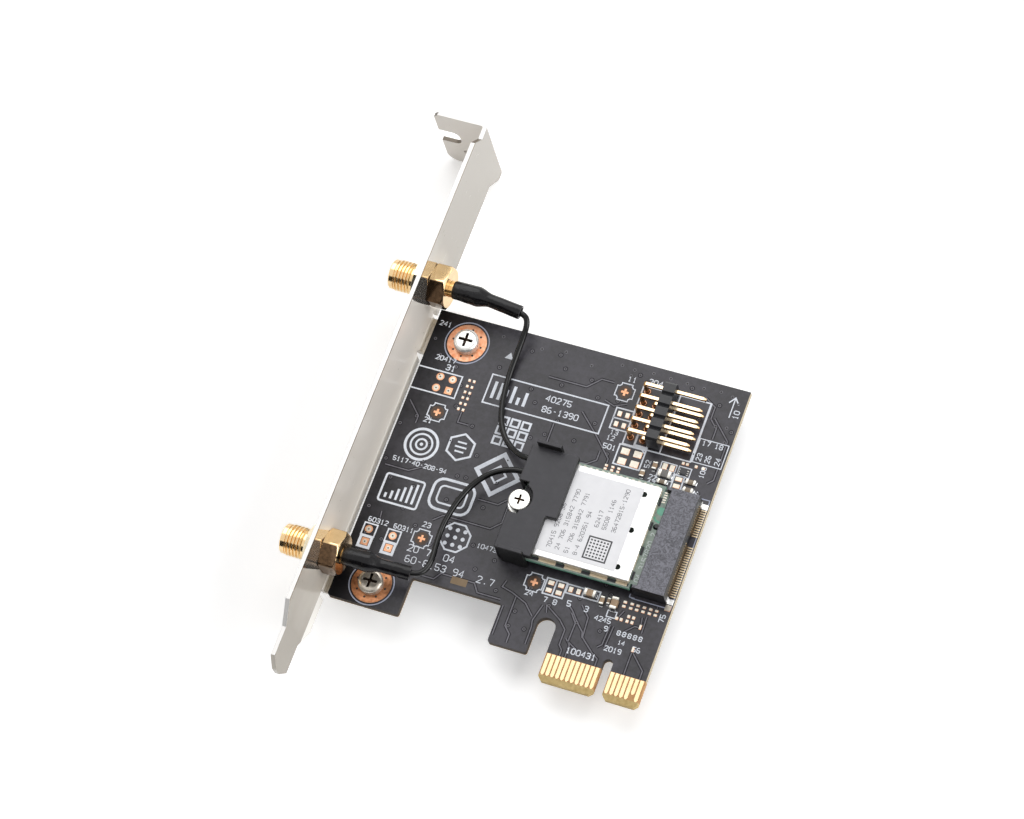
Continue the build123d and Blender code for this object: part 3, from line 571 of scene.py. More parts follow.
def polished_bands(shade, place):
    """One inside the slanted bands of the plate that were rubbed bright beside the two hexagons."""
    slant = shade.times(shade.math("SUBTRACT", place["Z"], port_z), polished_slant)
    along = shade.math("ADD", place["Y"], slant)
    bands = []
    for side, port_y in port_ys.items():
        off = shade.math("ABSOLUTE", shade.math("SUBTRACT", along, port_y))
        bands.append(shade.below(off, polished_halves[side]))
    return shade.most(*bands)


def nickel_sheet():
    """Plated steel, warmer towards its foot, with fine scratches; painted light and shade on its inner
    face beside the board, and a painted highlight on the cut edges that face up.
    """
    shade = Shade("nickel_sheet", (226, 220, 212), 0.24)
    place, facing = shade.place(), shade.facing()
    faces_card, cut_up = shade.above(facing["X"], squarely), shade.above(facing["Z"], squarely)
    share = shade.math("DIVIDE", shade.math("SUBTRACT", place["Y"], plate_low_y), plate_tall)
    share = shade.math("ADD", share, shade.times(shade.noise(6.0), 0.04))
    plain = shade.ramp(share, [(0.1, (206, 199, 188)), (1.0, (246, 240, 232))])
    # On the inner face the colour is painted lighter beside the board and darker below and above it:
    # painted light and shade against the board's shadow.
    inner_painted_light = shade.ramp(share, [(0.09, (164, 157, 146)), (0.24, (230, 223, 213)),
                               (0.64, (240, 234, 226)), (0.80, (178, 173, 165))])
    shade.set(Base_Color=shade.mix(faces_card, plain, inner_painted_light))
    # A near-white strip low on the inner face beside the board: painted light in the board's shadow.
    painted_light_beside_board = shade.times(shade.below(place["Z"], beside_board_z),
                               shade.below(place["Y"], beside_board_y))
    shade.recolour(shade.times(faces_card, painted_light_beside_board), (255, 252, 246))
    shade.recolour(shade.above(place["Z"], plate_rim_z - rim_wide), (138, 122, 104))
    scratch = shade.noise(1.1, stretch=(2.5, 0.45, 2.5), detail=6.0)
    shade.recolour(shade.above(scratch, scratch_limit), (150, 142, 132))
    # The cut edges that face up are painted near white: a painted highlight.
    shade.recolour(shade.times(cut_up, shade.above(place["Z"], foot_top_z)), (252, 250, 247))
    in_slot = shade.times(shade.below(place["X"], slot_x), shade.below(place["Z"], slot_z),
                          shade.above(place["Z"], 0.0))
    torn = shade.most(in_slot, shade.above(facing["Y"], squarely))
    shade.recolour(shade.times(cut_up, torn), (112, 100, 86))
    polished = shade.times(polished_bands(shade, place), faces_card)
    shade.set(Metallic=shade.spread(polished, dull_metal, polished_metal))
    lines = shade.noise(0.6, stretch=(4, 0.15, 4), detail=4.0)
    shade.set(Roughness=shade.math("SUBTRACT", shade.spread(lines, 0.20, 0.30),
                                   shade.times(polished, polish)))
    shade.bevel(0.10)
    shade.bump(lines, 0.0012)
    return shade


def on_both(*names):
    """The nodes of the upper and the lower one of each of these parts."""
    return [name + "_" + side for name in names for side in port_ys]


dress(nickel_sheet(), "bracket")
dress(gold, "antenna_jacks", *on_both("port_pin", "crimp_ferrule", "antenna_plug"))
pale_gold = metal("pale_gold", (250, 236, 206), 0.20, grain=0.25, depth=0.002, vary=5)
dress(pale_gold, *on_both("lock_washer", "port_nut"))
contact_gold = metal("contact_gold", (220, 192, 150), 0.24, grain=0.5, depth=0.002, vary=6, edge=0)
dress(contact_gold, "edge_contacts_front", "edge_contacts_back", "module_contacts")
pin_gold = metal("pin_gold", (242, 222, 188), 0.20, grain=0.3, depth=0.002, vary=6, edge=0.08)
# The pins' rounded sides are painted a deeper, darker gold than their tops: painted shade.
pin_round_r, pin_top_z = 0.17, 0.93
rounded_pin = pin_gold.add("Bevel", {"Radius": pin_round_r * MM}, samples=6).outputs["Normal"]
pin_gold.recolour(pin_gold.below(pin_gold.xyz(rounded_pin)["Z"], pin_top_z), (212, 160, 92))
dress(pin_gold, *on_both("header_pins"))
spring_gold = metal("spring_gold", (226, 206, 172), 0.30, grain=0.3, depth=0.002, vary=14, edge=0)
# The springs' faces that turn to +X are painted dark brown: painted shade.
spring_gold.recolour(spring_gold.above(spring_gold.facing()["X"], 0.4), (116, 94, 68))
dress(spring_gold, *on_both("socket_springs"))


def ring_copper():
    """The two ground rings: the upper one pale, the lower one browner and in places dark."""
    shade = Shade("ground_copper", (196, 160, 136), 0.38, metal=1.0)
    upper = shade.above(shade.place()["Y"], middle_y)
    stains = shade.noise(0.9, detail=4.0)
    pale = shade.blend(stains, (190, 122, 86), (208, 160, 130), 0.35)
    brown = shade.blend(stains, (140, 92, 62), (200, 142, 104))
    shade.set(Base_Color=shade.mix(upper, brown, pale))
    grain = shade.noise(0.18, detail=4.0)
    shade.gloss(grain, 0.28, 0.48)
    shade.bump(grain, 0.005)
    return shade


dress(ring_copper(), "ground_rings")
shield_tin = metal("shield_tin", (228, 228, 227), 0.32, grain=0.35, vary=5, edge=0.10)
dress(shield_tin, "socket_hold_downs", "module_standoff")
dress(metal("crystal_can", (200, 198, 192), 0.3), "module_crystal")
insulator = plastic("port_insulator", (232, 232, 226), 0.40, vary=5)
dress(insulator, *on_both("port_insulator"))
dress(plastic("chip_moulding", (46, 46, 48), 0.55, grain=0.1), "radio_chip", "amplifier_chips")
cover = plastic("cover_plastic", (45, 44, 49), 0.46, grain=0.09, depth=0.014, vary=4, edge=0.12)
dress(cover, "plug_cover")
header_black = plastic("header_plastic", (34, 34, 37), 0.38, grain=0.12, depth=0.008, vary=4, edge=0.06)
dress(header_black, "header_body")
label_film = plastic("label_film", (244, 244, 247), 0.42, grain=1.6, depth=0.004, vary=3, edge=0.03)
dress(label_film, "module_label")


def cut_sides(shade):
    """1 on the cut sides of a board and 0 on its two faces."""
    return shade.below(shade.math("ABSOLUTE", shade.facing()["Z"]), squarely)


def laminate(shade, colour):
    """Thin pale and darker plies, as the cut side of glass laminate shows."""
    plies = shade.noise(0.5, stretch=(0.6, 0.6, 6.0), detail=3.0)
    return shade.blend(plies, tuple(c * 0.84 for c in colour), colour, 0.35)


plain_edge_x, plain_edge_y, plain_edge_left_x, edge_highlight_z = 19.3, 67.9, -45.9, -1.30


def board_sides(shade):
    """Cream laminate on the right, top and far left edges; the other edges are painted dark, a painted
    shade, with a tan line along their lower rim, a painted highlight.
    """
    place = shade.place()
    plain_edges = shade.most(shade.above(place["X"], plain_edge_x), shade.above(place["Y"], plain_edge_y),
                      shade.below(place["X"], plain_edge_left_x))
    # Painted shade on the other edges, with a painted highlight along their lower rim.
    shaded_edges = shade.mix(shade.below(place["Z"], edge_highlight_z), (60, 51, 43), (188, 160, 120))
    return shade.mix(plain_edges, shaded_edges, laminate(shade, (214, 199, 170)))


def solder_mask(name, low, high, side, rough=0.42, painted_shade=None):
    """Solder mask over copper and laminate, with the laminate bare on the cut sides."""
    shade = Shade(name, high, rough)
    broad = shade.noise(11.0, detail=1.0)
    fine = shade.noise(1.1, detail=5.0)
    tone = shade.math("ADD", shade.times(broad, 0.5), shade.times(fine, 0.5))
    mask = shade.blend(tone, low, high, 0.40)
    # Where asked, the mask is painted blacker and less glossy: painted shade.
    if painted_shade:
        amount = painted_shade(shade)
        mask = shade.mix(amount, mask, (15, 14, 16))
        shade.set(Specular_IOR_Level=shade.spread(amount, 0.5, 0.12))
    sides = cut_sides(shade)
    bare = side(shade) if callable(side) else laminate(shade, side)
    shade.set(Base_Color=shade.mix(sides, mask, bare))
    uneven = shade.spread(fine, rough - 0.08, rough + 0.08)
    shade.set(Roughness=shade.most(uneven, shade.times(sides, 0.7)))
    shade.bump(fine, 0.006)
    shade.bump(shade.noise(0.16), 0.003)
    return shade


black_x, black_wide, black_middle_y, black_least, black_rise = -46.0, 15.0, 39.0, 0.42, 0.019


def painted_shade_by_bracket(shade):
    """How much painted shade blackens the mask beside the bracket, most at the two screws."""
    place = shade.place()
    across = shade.math("DIVIDE", shade.math("SUBTRACT", place["X"], black_x), black_wide)
    along = shade.math("ABSOLUTE", shade.math("SUBTRACT", place["Y"], black_middle_y))
    along = shade.math("ADD", shade.times(along, black_rise), black_least)
    return shade.math("SUBTRACT", along, across, clamp=True)


nose_y, bare_y, bare_x = 1.16, 5.62, -1.0


def bare_nose(shade):
    """No mask lies between the contacts, nor on the bevelled nose, so the laminate shows."""
    place = shade.place()
    between = shade.times(shade.below(place["Y"], bare_y), shade.above(place["X"], bare_x))
    shade.recolour(between, shade.blend(shade.noise(0.8), (176, 128, 74), (200, 152, 96)))
    olive = shade.blend(shade.noise(0.8), (196, 168, 108), (222, 196, 136))
    shade.recolour(shade.below(place["Y"], nose_y), olive)


board = solder_mask("board_mask", (32, 30, 35), (60, 58, 65), board_sides, painted_shade=painted_shade_by_bracket)
bare_nose(board)
dress(board, "main_board")
dress(solder_mask("module_mask", (128, 148, 138), (160, 176, 166), (128, 190, 166)), "module_board")


def painted_shade_on_sides(shade, colour):
    """The moulded sides that face down the card and to its right are painted blacker than the tops:
    painted shade.
    """
    facing = shade.facing()
    shade.recolour(shade.most(shade.below(facing["Y"], -0.6), shade.above(facing["X"], 0.4)), colour)


def marbled(name, low, high, rough):
    """Glass-filled plastic: pale curls where the filler flowed in the mould."""
    shade = Shade(name, high, rough)
    bend = shade.add("TexNoise", {"Vector": shade.coords(), "Scale": 0.45, "Detail": 2.0})
    far = shade.add("VectorMath", {0: bend.outputs["Color"], 1: (9, 9, 9)}, operation="MULTIPLY")
    moved = shade.add("Mix", {0: 0.65, 4: shade.coords(), 5: far.outputs[0]}, data_type="VECTOR")
    flow = shade.add("TexNoise", {"Vector": moved.outputs[1], "Scale": 2.1, "Detail": 3.0})
    curls = flow.outputs["Fac"]
    shade.set(Base_Color=shade.ramp(curls, [(0.35, low), (0.62, high)]))
    shade.gloss(curls, rough - 0.1, rough + 0.1)
    shade.bevel(0.10)
    shade.bump(curls, 0.02)
    return shade


socket_plastic = marbled("socket_plastic", (64, 64, 71), (122, 122, 131), 0.42)
painted_shade_on_sides(socket_plastic, (10, 10, 11))
painted_shade_on_sides(cover, (8, 8, 9))
dress(socket_plastic, "socket_housing")

screw_x, screw_ys, recess_z, recess_r = -38.45, (62.60, 9.00), 1.40, 1.62
module_screw, module_recess_z, module_recess_r = (-15.40, 32.48), 4.12, 1.12


def recess_shade(shade, centres, top_z, reach):
    """Darkens the floor and walls of a screw's cross recess."""
    recess = shade.below(shade.place()["Z"], top_z)
    for centre in centres:
        gap = shade.add("VectorMath", {0: shade.coords(), 1: (*centre, 0)}, operation="SUBTRACT")
        flat = shade.add("VectorMath", {0: gap.outputs[0], 1: (1, 1, 0)}, operation="MULTIPLY")
        distance = shade.add("VectorMath", {0: flat.outputs[0]}, operation="LENGTH").outputs["Value"]
        shade.recolour(shade.times(recess, shade.below(distance, reach)), (50, 36, 26))


def small_screw():
    """The module's bright screw."""
    shade = Shade("screw_nickel", (236, 235, 231), 0.3, metal=1.0)
    stains = shade.noise(0.7, detail=3.0)
    shade.set(Base_Color=shade.blend(stains, (222, 220, 214), (240, 239, 235), 0.35))
    recess_shade(shade, [module_screw], module_recess_z, module_recess_r)
    shade.gloss(stains, 0.22, 0.40)
    shade.bevel(0.10)
    shade.bump(stains, 0.01)
    return shade


def two_screws():
    """The two bracket screws: the upper one bright, the lower one painted darker, a painted shade."""
    shade = Shade("screw_zinc", (225, 224, 220), 0.2, metal=0.62)
    upper = shade.above(shade.place()["Y"], middle_y)
    stains = shade.noise(0.8, detail=4.0)
    bright = shade.blend(stains, (226, 224, 219), (244, 243, 240), 0.35)
    # The lower screw is painted darker than the upper one: painted shade.
    shaded_lower = shade.blend(stains, (180, 172, 160), (206, 198, 186), 0.35)
    shade.set(Base_Color=shade.mix(upper, shaded_lower, bright))
    recess_shade(shade, [(screw_x, y) for y in screw_ys], recess_z, recess_r)
    shade.gloss(stains, 0.16, 0.34)
    shade.bevel(0.12)
    shade.bump(stains, 0.006)
    return shade


def inside(shade, low, high):
    """1 within a box given in millimetres and 0 outside it."""
    place, masks = shade.place(), []
    for axis, a, b in zip("XYZ", low, high):
        masks += [shade.above(place[axis], a), shade.below(place[axis], b)]
    return shade.times(*masks)


def shield_finish(sheet=0.145):
    """Tinned sheet: warmer and duller where it folds down to its legs, and painted dark inside, a painted
    shade.
    """
    shade = Shade("shield_sheet", (226, 226, 225), 0.32)
    stains = shade.noise(1.8, detail=3.0)
    top = shade.blend(stains, (228, 228, 227), (238, 238, 237))
    side = shade.blend(stains, (222, 208, 184), (240, 228, 206))
    low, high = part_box("module_shield")
    low = (low[0] / MM + sheet, low[1] / MM + sheet, 0.0)
    within = inside(shade, low, [c / MM - sheet for c in high])
    folded = cut_sides(shade)
    # Inside the shield is painted near black and not metallic: painted shade.
    shade.set(Base_Color=shade.mix(within, shade.mix(folded, top, side), (14, 12, 11)))
    outside = shade.math("SUBTRACT", 1.0, shade.most(within, folded))
    shade.set(Metallic=shade.times(outside, 0.7))
    shade.gloss(shade.noise(0.5), 0.26, 0.42)
    shade.bevel(0.08)
    shade.bump(shade.noise(0.35, detail=4.0), 0.003)
    return shade


def regulator_finish(body_half=0.655):
    """A moulded body with tinned legs at its two ends."""
    shade = Shade("regulator", (40, 40, 43), 0.45)
    low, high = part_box("voltage_regulator")
    middle = (low[0] + high[0]) / 2 / MM
    legs = shade.math("ABSOLUTE", shade.math("SUBTRACT", shade.place()["X"], middle))
    legs = shade.above(legs, body_half)
    grain = shade.noise(0.12, detail=3.0)
    body = shade.blend(grain, (32, 32, 35), (48, 48, 51))
    shade.set(Base_Color=shade.mix(legs, body, (206, 205, 200)), Metallic=legs)
    shade.gloss(grain, 0.28, 0.5)
    shade.bevel(0.05)
    shade.bump(grain, 0.008)
    return shade


dress(small_screw(), "module_screw")
dress(shield_finish(), "module_shield")
dress(two_screws(), "bracket_screws")
dress(regulator_finish(), "voltage_regulator")


# Flat marks

digit_strokes = {
    "0": ["10 30 41 45 36 16 05 01 10"], "1": ["14 26 20", "10 30"], "2": ["05 16 36 45 44 00 40"],
    "3": ["05 16 36 45 44 33 13", "33 42 41 30 10 01"], "4": ["30 36 02 42"],
    "5": ["46 06 03 33 42 41 30 10 01"], "6": ["36 16 05 01 10 30 41 42 33 13 02"],
    "7": ["06 46 20"], "8": ["33 44 45 36 16 05 04 13 33 42 41 30 10 01 02 13"],
    "9": ["10 30 41 45 36 16 05 04 13 33 44"], "-": ["13 33"], ".": ["20 21"],
}


def round_points(x, y, radius, sides, turn=0.0):
    spots = [math.tau * i / sides + math.radians(turn) for i in range(sides)]
    return [(x + radius * math.cos(a), y + radius * math.sin(a)) for a in spots]


def grid(columns, rows, x, y, step_x, step_y):
    return [(x + step_x * column, y + step_y * row) for row in range(rows) for column in range(columns)]


mark_levels, mark_step, line_w = 6, 0.05, 0.29


class Marks:
    """Flat shapes printed, plated or bared on one face, gathered into one thin piece."""

    def __init__(self, z, thick=0.03, from_behind=False):
        self.bm = bmesh.new()
        self.z = (z, z + thick)
        self.side = -1 if from_behind else 1
        self.count = 0

    def strip(self, left, right, closed=False):
        """A thin solid between two lines of points. Tops differ a little, so that none coincide."""
        low, high = self.z
        self.count += 1
        high += (high - low) * mark_step * (self.count % mark_levels)
        rows = [[self.bm.verts.new((*p, z)) for p, z in ((a, low), (b, low), (b, high), (a, high))]
                for a, b in zip(left, right)]
        spans = list(zip(rows, rows[1:])) + ([(rows[-1], rows[0])] if closed else [])
        for one, two in spans:
            for j in range(4):
                k = (j + 1) % 4
                self.bm.faces.new((one[j], two[j], two[k], one[k]))
        if not closed:
            self.bm.faces.new(reversed(rows[0]))
            self.bm.faces.new(rows[-1])

    def line(self, points, width=line_w, closed=False):
        points = [Vector(p) for p in points]
        last = len(points) - 1
        left, right = [], []
        for i, point in enumerate(points):
            ways = []
            if i or closed:
                ways.append((point - points[i - 1]).normalized())
            if i < last or closed:
                ways.append((points[(i + 1) % (last + 1)] - point).normalized())
            way = sum(ways, Vector((0, 0))).normalized()
            side = Vector((-way.y, way.x)) * width / 2 / max(0.5, way.dot(ways[0]))
            left.append(point + side)
            right.append(point - side)
        self.strip(left, right, closed)

    def patch(self, x, y, wide, high):
        self.line([(x - wide / 2, y), (x + wide / 2, y)], high)

    def box(self, x0, y0, x1, y1, width=line_w):
        self.line([(x0, y0), (x1, y0), (x1, y1), (x0, y1)], width, closed=True)

    def loop(self, x, y, radius, width, sides=48, turn=0.0):
        self.line(round_points(x, y, radius, sides, turn), width, closed=True)

    def dot(self, x, y, radius, sides=16):
        ring = round_points(x, y, radius, sides)
        skin(self.bm, [[Vector((*p, z)) for p in ring] for z in self.z])

    def round_box(self, x0, y0, x1, y1, corner, width):
        points = []
        for cx, cy, start in ((x1 - corner, y1 - corner, 0), (x0 + corner, y1 - corner, 90),
                              (x0 + corner, y0 + corner, 180), (x1 - corner, y0 + corner, 270)):
            for step in range(5):
                angle = math.radians(start + 22.5 * step)
                points.append((cx + corner * math.cos(angle), cy + corner * math.sin(angle)))
        self.line(points, width, closed=True)

    def digits(self, text, x, y, height, turn=0, weight=0.15):
        """Plain numbers; turn is the angle of their base line in degrees."""
        unit, spin = height / 6, Matrix.Rotation(math.radians(turn), 2)
        for place, sign in enumerate(text):
            for stroke in digit_strokes.get(sign, []):
                spots = [(int(s[0]) + 5.6 * place, int(s[1])) for s in stroke.split()]
                points = [Vector((x, y)) + spin @ Vector(s) * unit for s in spots]
                self.line(points, height * weight)

    def finish(self, name, shade, slot="black_board"):
        """Marks on the back were drawn as seen from behind, so they are turned over here."""
        bmesh.ops.scale(self.bm, vec=(self.side, 1, 1), verts=self.bm.verts)
        mesh_piece(name, self.bm, shade)


def thin_coat(name, colour, vary, rough=0.5, grain=0.3, depth=0.003, **more):
    """Ink or another coat that is too thin to have edges of its own."""
    return plastic(name, colour, rough, grain=grain, depth=depth, vary=vary, edge=0, **more)


ink = thin_coat("white_ink", (232, 237, 246), 9, rough=0.55, depth=0.004)
thin_ink = thin_coat("thin_ink", (172, 178, 198), 8, rough=0.55, depth=0.004)
silk, fine_silk = Marks(0.0), Marks(0.0, 0.021)

for y in screw_ys:
    fine_silk.loop(screw_x, y, 4.50, 0.22, sides=72)

fiducials = ((-38.9, 46.75), (-4.3, 61.3), (-32.3, 20.6), (-7.8, 18.4))
half, step = 1.85, 1.10
quarter, outline = [(half, -step), (half, step), (step * 1.3, step), (step, step * 1.3)], []
for _ in range(4):
    outline += quarter
    quarter = [(-b, a) for a, b in quarter]
for x, y in fiducials:
    silk.line([(x + a, y + b) for a, b in outline], 0.22, closed=True)

boxes = (
    (-1.1, 50.8, 13.0, 63.7), (-1.5, 46.3, 3.9, 50.6), (-4.7, 53.3, -1.0, 57.8),
    (-31.0, 51.4, -6.4, 57.7, 0.30), (11.0, 44.5, 13.0, 47.5), (7.7, 47.9, 10.8, 49.4, 0.20),
    (-5.6, 16.8, -3.6, 20.1), (-3.6, 16.8, -1.5, 20.1), (-1.3, 18.2, 2.1, 20.0),
    (2.1, 18.2, 5.3, 20.2), (7.9, 15.9, 9.7, 17.2, 0.20), (7.5, 45.8, 10.8, 47.8, 0.20),
    (11.3, 47.4, 13.8, 49.4, 0.20), (13.3, 51.0, 19.2, 56.1, 0.18), (-44.3, 18.1, -41.6, 20.7),
    (-39.3, 18.1, -36.6, 20.7),
)
for box in boxes:
    silk.box(*box)
for x, y, wide in ((-42.95, 16.85, 0.55), (-37.95, 16.85, 0.55)):
    silk.box(x - 1.15, y - 1.15, x + 1.15, y + 1.15, wide)
silk.box(1.25, 51.15, 3.85, 53.55, 0.42)
silk.line([(6.6, 50.8), (6.6, 63.7)])
silk.line([(-4.7, 55.6), (-1.0, 55.6)])
silk.line([(13.0, 50.8), (13.0, 63.7)], 0.42)
silk.line([(-46.0, 55.4), (-36.7, 55.4), (-36.7, 50.5), (-46.0, 50.5)])
fine_silk.line([(12.0, 20.9), (10.9, 20.9), (10.9, 21.6)], 0.2)
fine_silk.line([(11.4, 20.75), (19.35, 20.75), (19.35, 44.1), (12.9, 44.1)], 0.2)
silk.line([(3.0, 50.6), (3.9, 49.9)])
silk.line([(17.2, 61.8), (17.2, 66.0)], 0.22)
silk.line([(16.2, 64.9), (17.2, 66.2), (18.2, 64.9)], 0.26)
silk.strip([(-30.0, 61.7), (-28.2, 61.7)], [(-29.12, 63.1), (-29.08, 63.1)])

numbers = (
    ("241", -45.3, 65.0, 0.95), ("20417", -43.4, 57.7, 0.95), ("31", -40.6, 56.0, 1.15),
    ("11", -4.6, 63.8, 1.05), ("20418", -0.4, 64.3, 1.10), ("13", -4.2, 52.1, 0.95),
    ("12", -4.5, 50.8, 0.95), ("501", -4.6, 48.9, 1.0), ("17", 14.0, 54.9, 0.95),
    ("18", 16.6, 54.9, 0.95), ("23", 14.8, 51.5, 0.95, 90), ("26", 16.6, 51.5, 0.95, 90),
    ("24", 18.6, 51.5, 0.95, 90), ("10", 18.9, 61.9, 1.05, 90), ("52", 5.6, 47.3, 0.95, 90),
    ("22", 6.2, 45.2, 0.95), ("47", 6.2, 44.0, 0.95), ("12", 16.4, 43.4, 1.2, 90),
    ("21", -40.9, 44.2, 1.0), ("23", -33.1, 23.1, 1.0), ("24", -8.8, 15.6, 1.0),
    ("60312", -43.9, 21.15, 0.92), ("60311", -38.5, 21.15, 0.92),
    ("5117-40-208-94", -43.9, 34.75, 0.88), ("7", -4.9, 15.2, 1.0),
    ("8", -2.9, 15.2, 1.0), ("5", -0.2, 15.7, 1.1), ("3", 3.4, 15.6, 1.1),
    ("42", 5.9, 14.6, 0.95), ("45", 7.6, 14.6, 0.95), ("9", 8.4, 13.0, 0.95),
    ("100431", 2.9, 6.7, 1.1), ("75", 18.9, 17.7, 1.0, 90),
    ("2019", 9.8, 9.3, 0.95), ("56", 15.0, 10.6, 0.95), ("14", 11.9, 11.2, 0.80),
    ("104732", -21.2, 22.0, 0.90), ("108", 16.5, 48.2, 0.9, 90),
)
for number in numbers:
    silk.digits(*number, weight=0.18)
silk.digits("20 71 04", -34.2, 17.5, 1.35, weight=0.13)
silk.digits("60-8153 94  2.7", -33.9, 15.2, 1.35, weight=0.12)
for i in range(5):
    silk.digits("8", 11.1 + 1.1 * i, 12.9, 0.9, weight=0.2)

# Plain rings, bars and boxes
for radius, width in ((3.3, 0.55), (2.2, 0.40), (1.1, 0.40)):
    silk.loop(-39.5, 39.4, radius, width)
silk.dot(-39.5, 39.4, 0.35)
silk.loop(-31.7, 41.0, 2.9, 0.42, sides=6, turn=30)
for k, wide in enumerate((1.9, 2.4, 1.9)):
    silk.patch(-31.7, 40.0 + k, wide, 0.36)
for x, y in grid(3, 3, -26.1, 43.7, 2.3, 2.2):
    silk.box(x, y, x + 1.6, y + 1.5, 0.42)
silk.line([(-22.6, 42.0), (-18.2, 37.6), (-22.6, 33.2), (-27.0, 37.6)], 0.85, closed=True)
silk.line([(-22.6, 39.4), (-20.8, 37.6), (-22.6, 35.8), (-24.4, 37.6)], 0.40, closed=True)
silk.round_box(-43.8, 25.9, -35.7, 31.8, 0.5, 0.42)
for k, tall in enumerate((1.0, 1.7, 2.4, 3.1, 3.8, 4.3)):
    silk.line([(-42.6 + 1.14 * k, 26.75), (-42.6 + 1.14 * k, 26.75 + tall)], 0.5)
silk.round_box(-33.9, 27.3, -25.4, 33.8, 1.9, 0.55)
silk.round_box(-32.5, 28.7, -26.8, 32.4, 0.9, 0.38)
for x, y in grid(3, 3, -27.6, 21.1, 1.6, 1.6):
    silk.dot(x, y, 0.42)
silk.loop(-26.0, 22.7, 3.1, 0.36, sides=8, turn=22.5)
for k, tall in enumerate((3.7, 3.7, 2.6, 3.7, 1.6, 3.0)):
    silk.line([(-29.6 + 1.35 * k, 52.7), (-29.6 + 1.35 * k, 52.7 + tall)], 0.62)
silk.digits("40275", -18.9, 55.2, 1.2, weight=0.16)
silk.digits("86-1390", -18.9, 52.8, 1.2, weight=0.16)
silk.finish("board_print", ink)
fine_silk.finish("board_fine_print", thin_ink)

# Bare pads, footprints and vias
pad_tin = metal("pad_tin", (184, 178, 166), 0.34, grain=0.3, depth=0.012, vary=10, edge=0)
pad_copper = metal("pad_copper", (196, 144, 112), 0.32, grain=0.3, depth=0.01, vary=12, edge=0)
# Holes are flat dark dots with no hollow cut: painted shade.
hole_dark = thin_coat("hole_dark", (30, 26, 22), 6, rough=0.6, grain=0.25, depth=0.004)
window = thin_coat("mask_window", (70, 48, 30), 10, depth=0.01)
tin_pads, copper_pads = Marks(0.0, 0.05), Marks(0.0, 0.035)
holes, windows = Marks(0.0, 0.06), Marks(0.0, 0.015)

plain_pads = [
    (8.5, 48.6, 0.9, 1.2), (10.0, 48.6, 0.9, 1.2), (12.0, 46.75, 1.3, 0.8), (12.0, 45.25, 1.3, 0.8),
    (-4.6, 19.3, 1.1, 0.8), (-4.6, 17.75, 1.1, 0.8), (-2.55, 19.3, 1.1, 0.8), (-2.55, 17.75, 1.1, 0.8),
    (-0.5, 19.1, 0.75, 1.0), (1.1, 19.1, 0.75, 1.0), (14.95, 15.7, 0.4, 0.9), (15.1, 11.0, 0.4, 0.9),
    (18.75, 20.9, 1.1, 1.2),
]
plain_pads += [(x, y, 1.6, 1.3) for x in (0.0, 2.6) for y in (49.4, 47.25)]
plain_pads += [(x, y, 0.75, 1.0) for x in (-3.75, -2.15) for y in (56.7, 54.45)]
plain_pads += [(x, y, 0.45, 0.5) for x in (-35.1, -34.1) for y in (55.1, 53.8, 52.5, 51.25, 49.95, 48.7)]
plain_pads += [(x, y, 0.55, 0.4) for x in (-2.6, -1.25, 0.0) for y in (45.55, 44.85)]
plain_pads += [(x, y, 0.6, 0.42) for x in (10.5, 11.9, 13.1, 14.4, 15.7, 16.9) for y in (19.7, 18.8)]
plain_pads += [(x, 50.2, 0.5, 0.5) for x in (11.75, 12.6, 14.4, 15.9)]
plain_pads += [(x, 17.1, 0.5, 0.55) for x in (12.1, 13.1)]
plain_pads += [(x, 16.1, 0.5, 0.55) for x in (10.0, 10.9, 12.1, 13.1)]
for x, y, wide, high in plain_pads:
    tin_pads.patch(x, y, wide, high)
    copper_pads.patch(x + 0.06, y - 0.06, wide + 0.04, high + 0.04)

for x, y in ((-41.05, 54.25), (-38.4, 54.25), (-41.05, 51.75), (-43.1, 19.5), (-38.0, 19.5)):
    copper_pads.loop(x, y, 0.62, 0.40, sides=24)
    tin_pads.dot(x, y, 0.55, 24)
    holes.dot(x, y, 0.16, 12)
for x, y in ((-38.4, 51.75), (-42.95, 16.85), (-37.95, 16.85)):
    copper_pads.patch(x, y, 1.5, 1.5)
    windows.patch(x, y, 1.75, 1.75)
    tin_pads.dot(x, y, 0.42, 16)
    holes.dot(x, y, 0.16, 12)
for x, y in fiducials:
    windows.dot(x, y, 1.42, 8)
    copper_pads.patch(x, y, 1.5, 0.45)
    for side in (-1, 1):
        copper_pads.patch(x, y + side * 0.49, 0.45, 0.52)

header_y, header_pitch = 57.60, 2.54
pin_places = [(header_pitch * row, header_y + header_pitch * (column - 2))
              for column in range(5) for row in range(2) if (column, row) != (4, 1)]
for x, y in pin_places:
    windows.dot(x, y, 0.92, 24)
    copper_pads.loop(x, y, 0.58, 0.09, sides=24)

bare_board, ring_holes = Marks(0.0, 0.015), Marks(0.05, 0.01)
bare_board.patch(-22.0, 14.3, 3.3, 1.5)
for screw_y, turn in zip(screw_ys, (-4.0, -7.0)):
    for x, y in round_points(screw_x, screw_y, 3.02, 8, turn):
        ring_holes.dot(x, y, 0.23, 12)

tin_pads.finish("bare_pads", pad_tin, "tin_shield")
copper_pads.finish("copper_pads", pad_copper, "copper")
windows.finish("mask_windows", window)
ring_holes.finish("ring_vias", hole_dark)
bare_tan = thin_coat("bare_laminate", (128, 108, 82), 8, rough=0.6, depth=0.01)
bare_board.finish("bare_window", bare_tan)

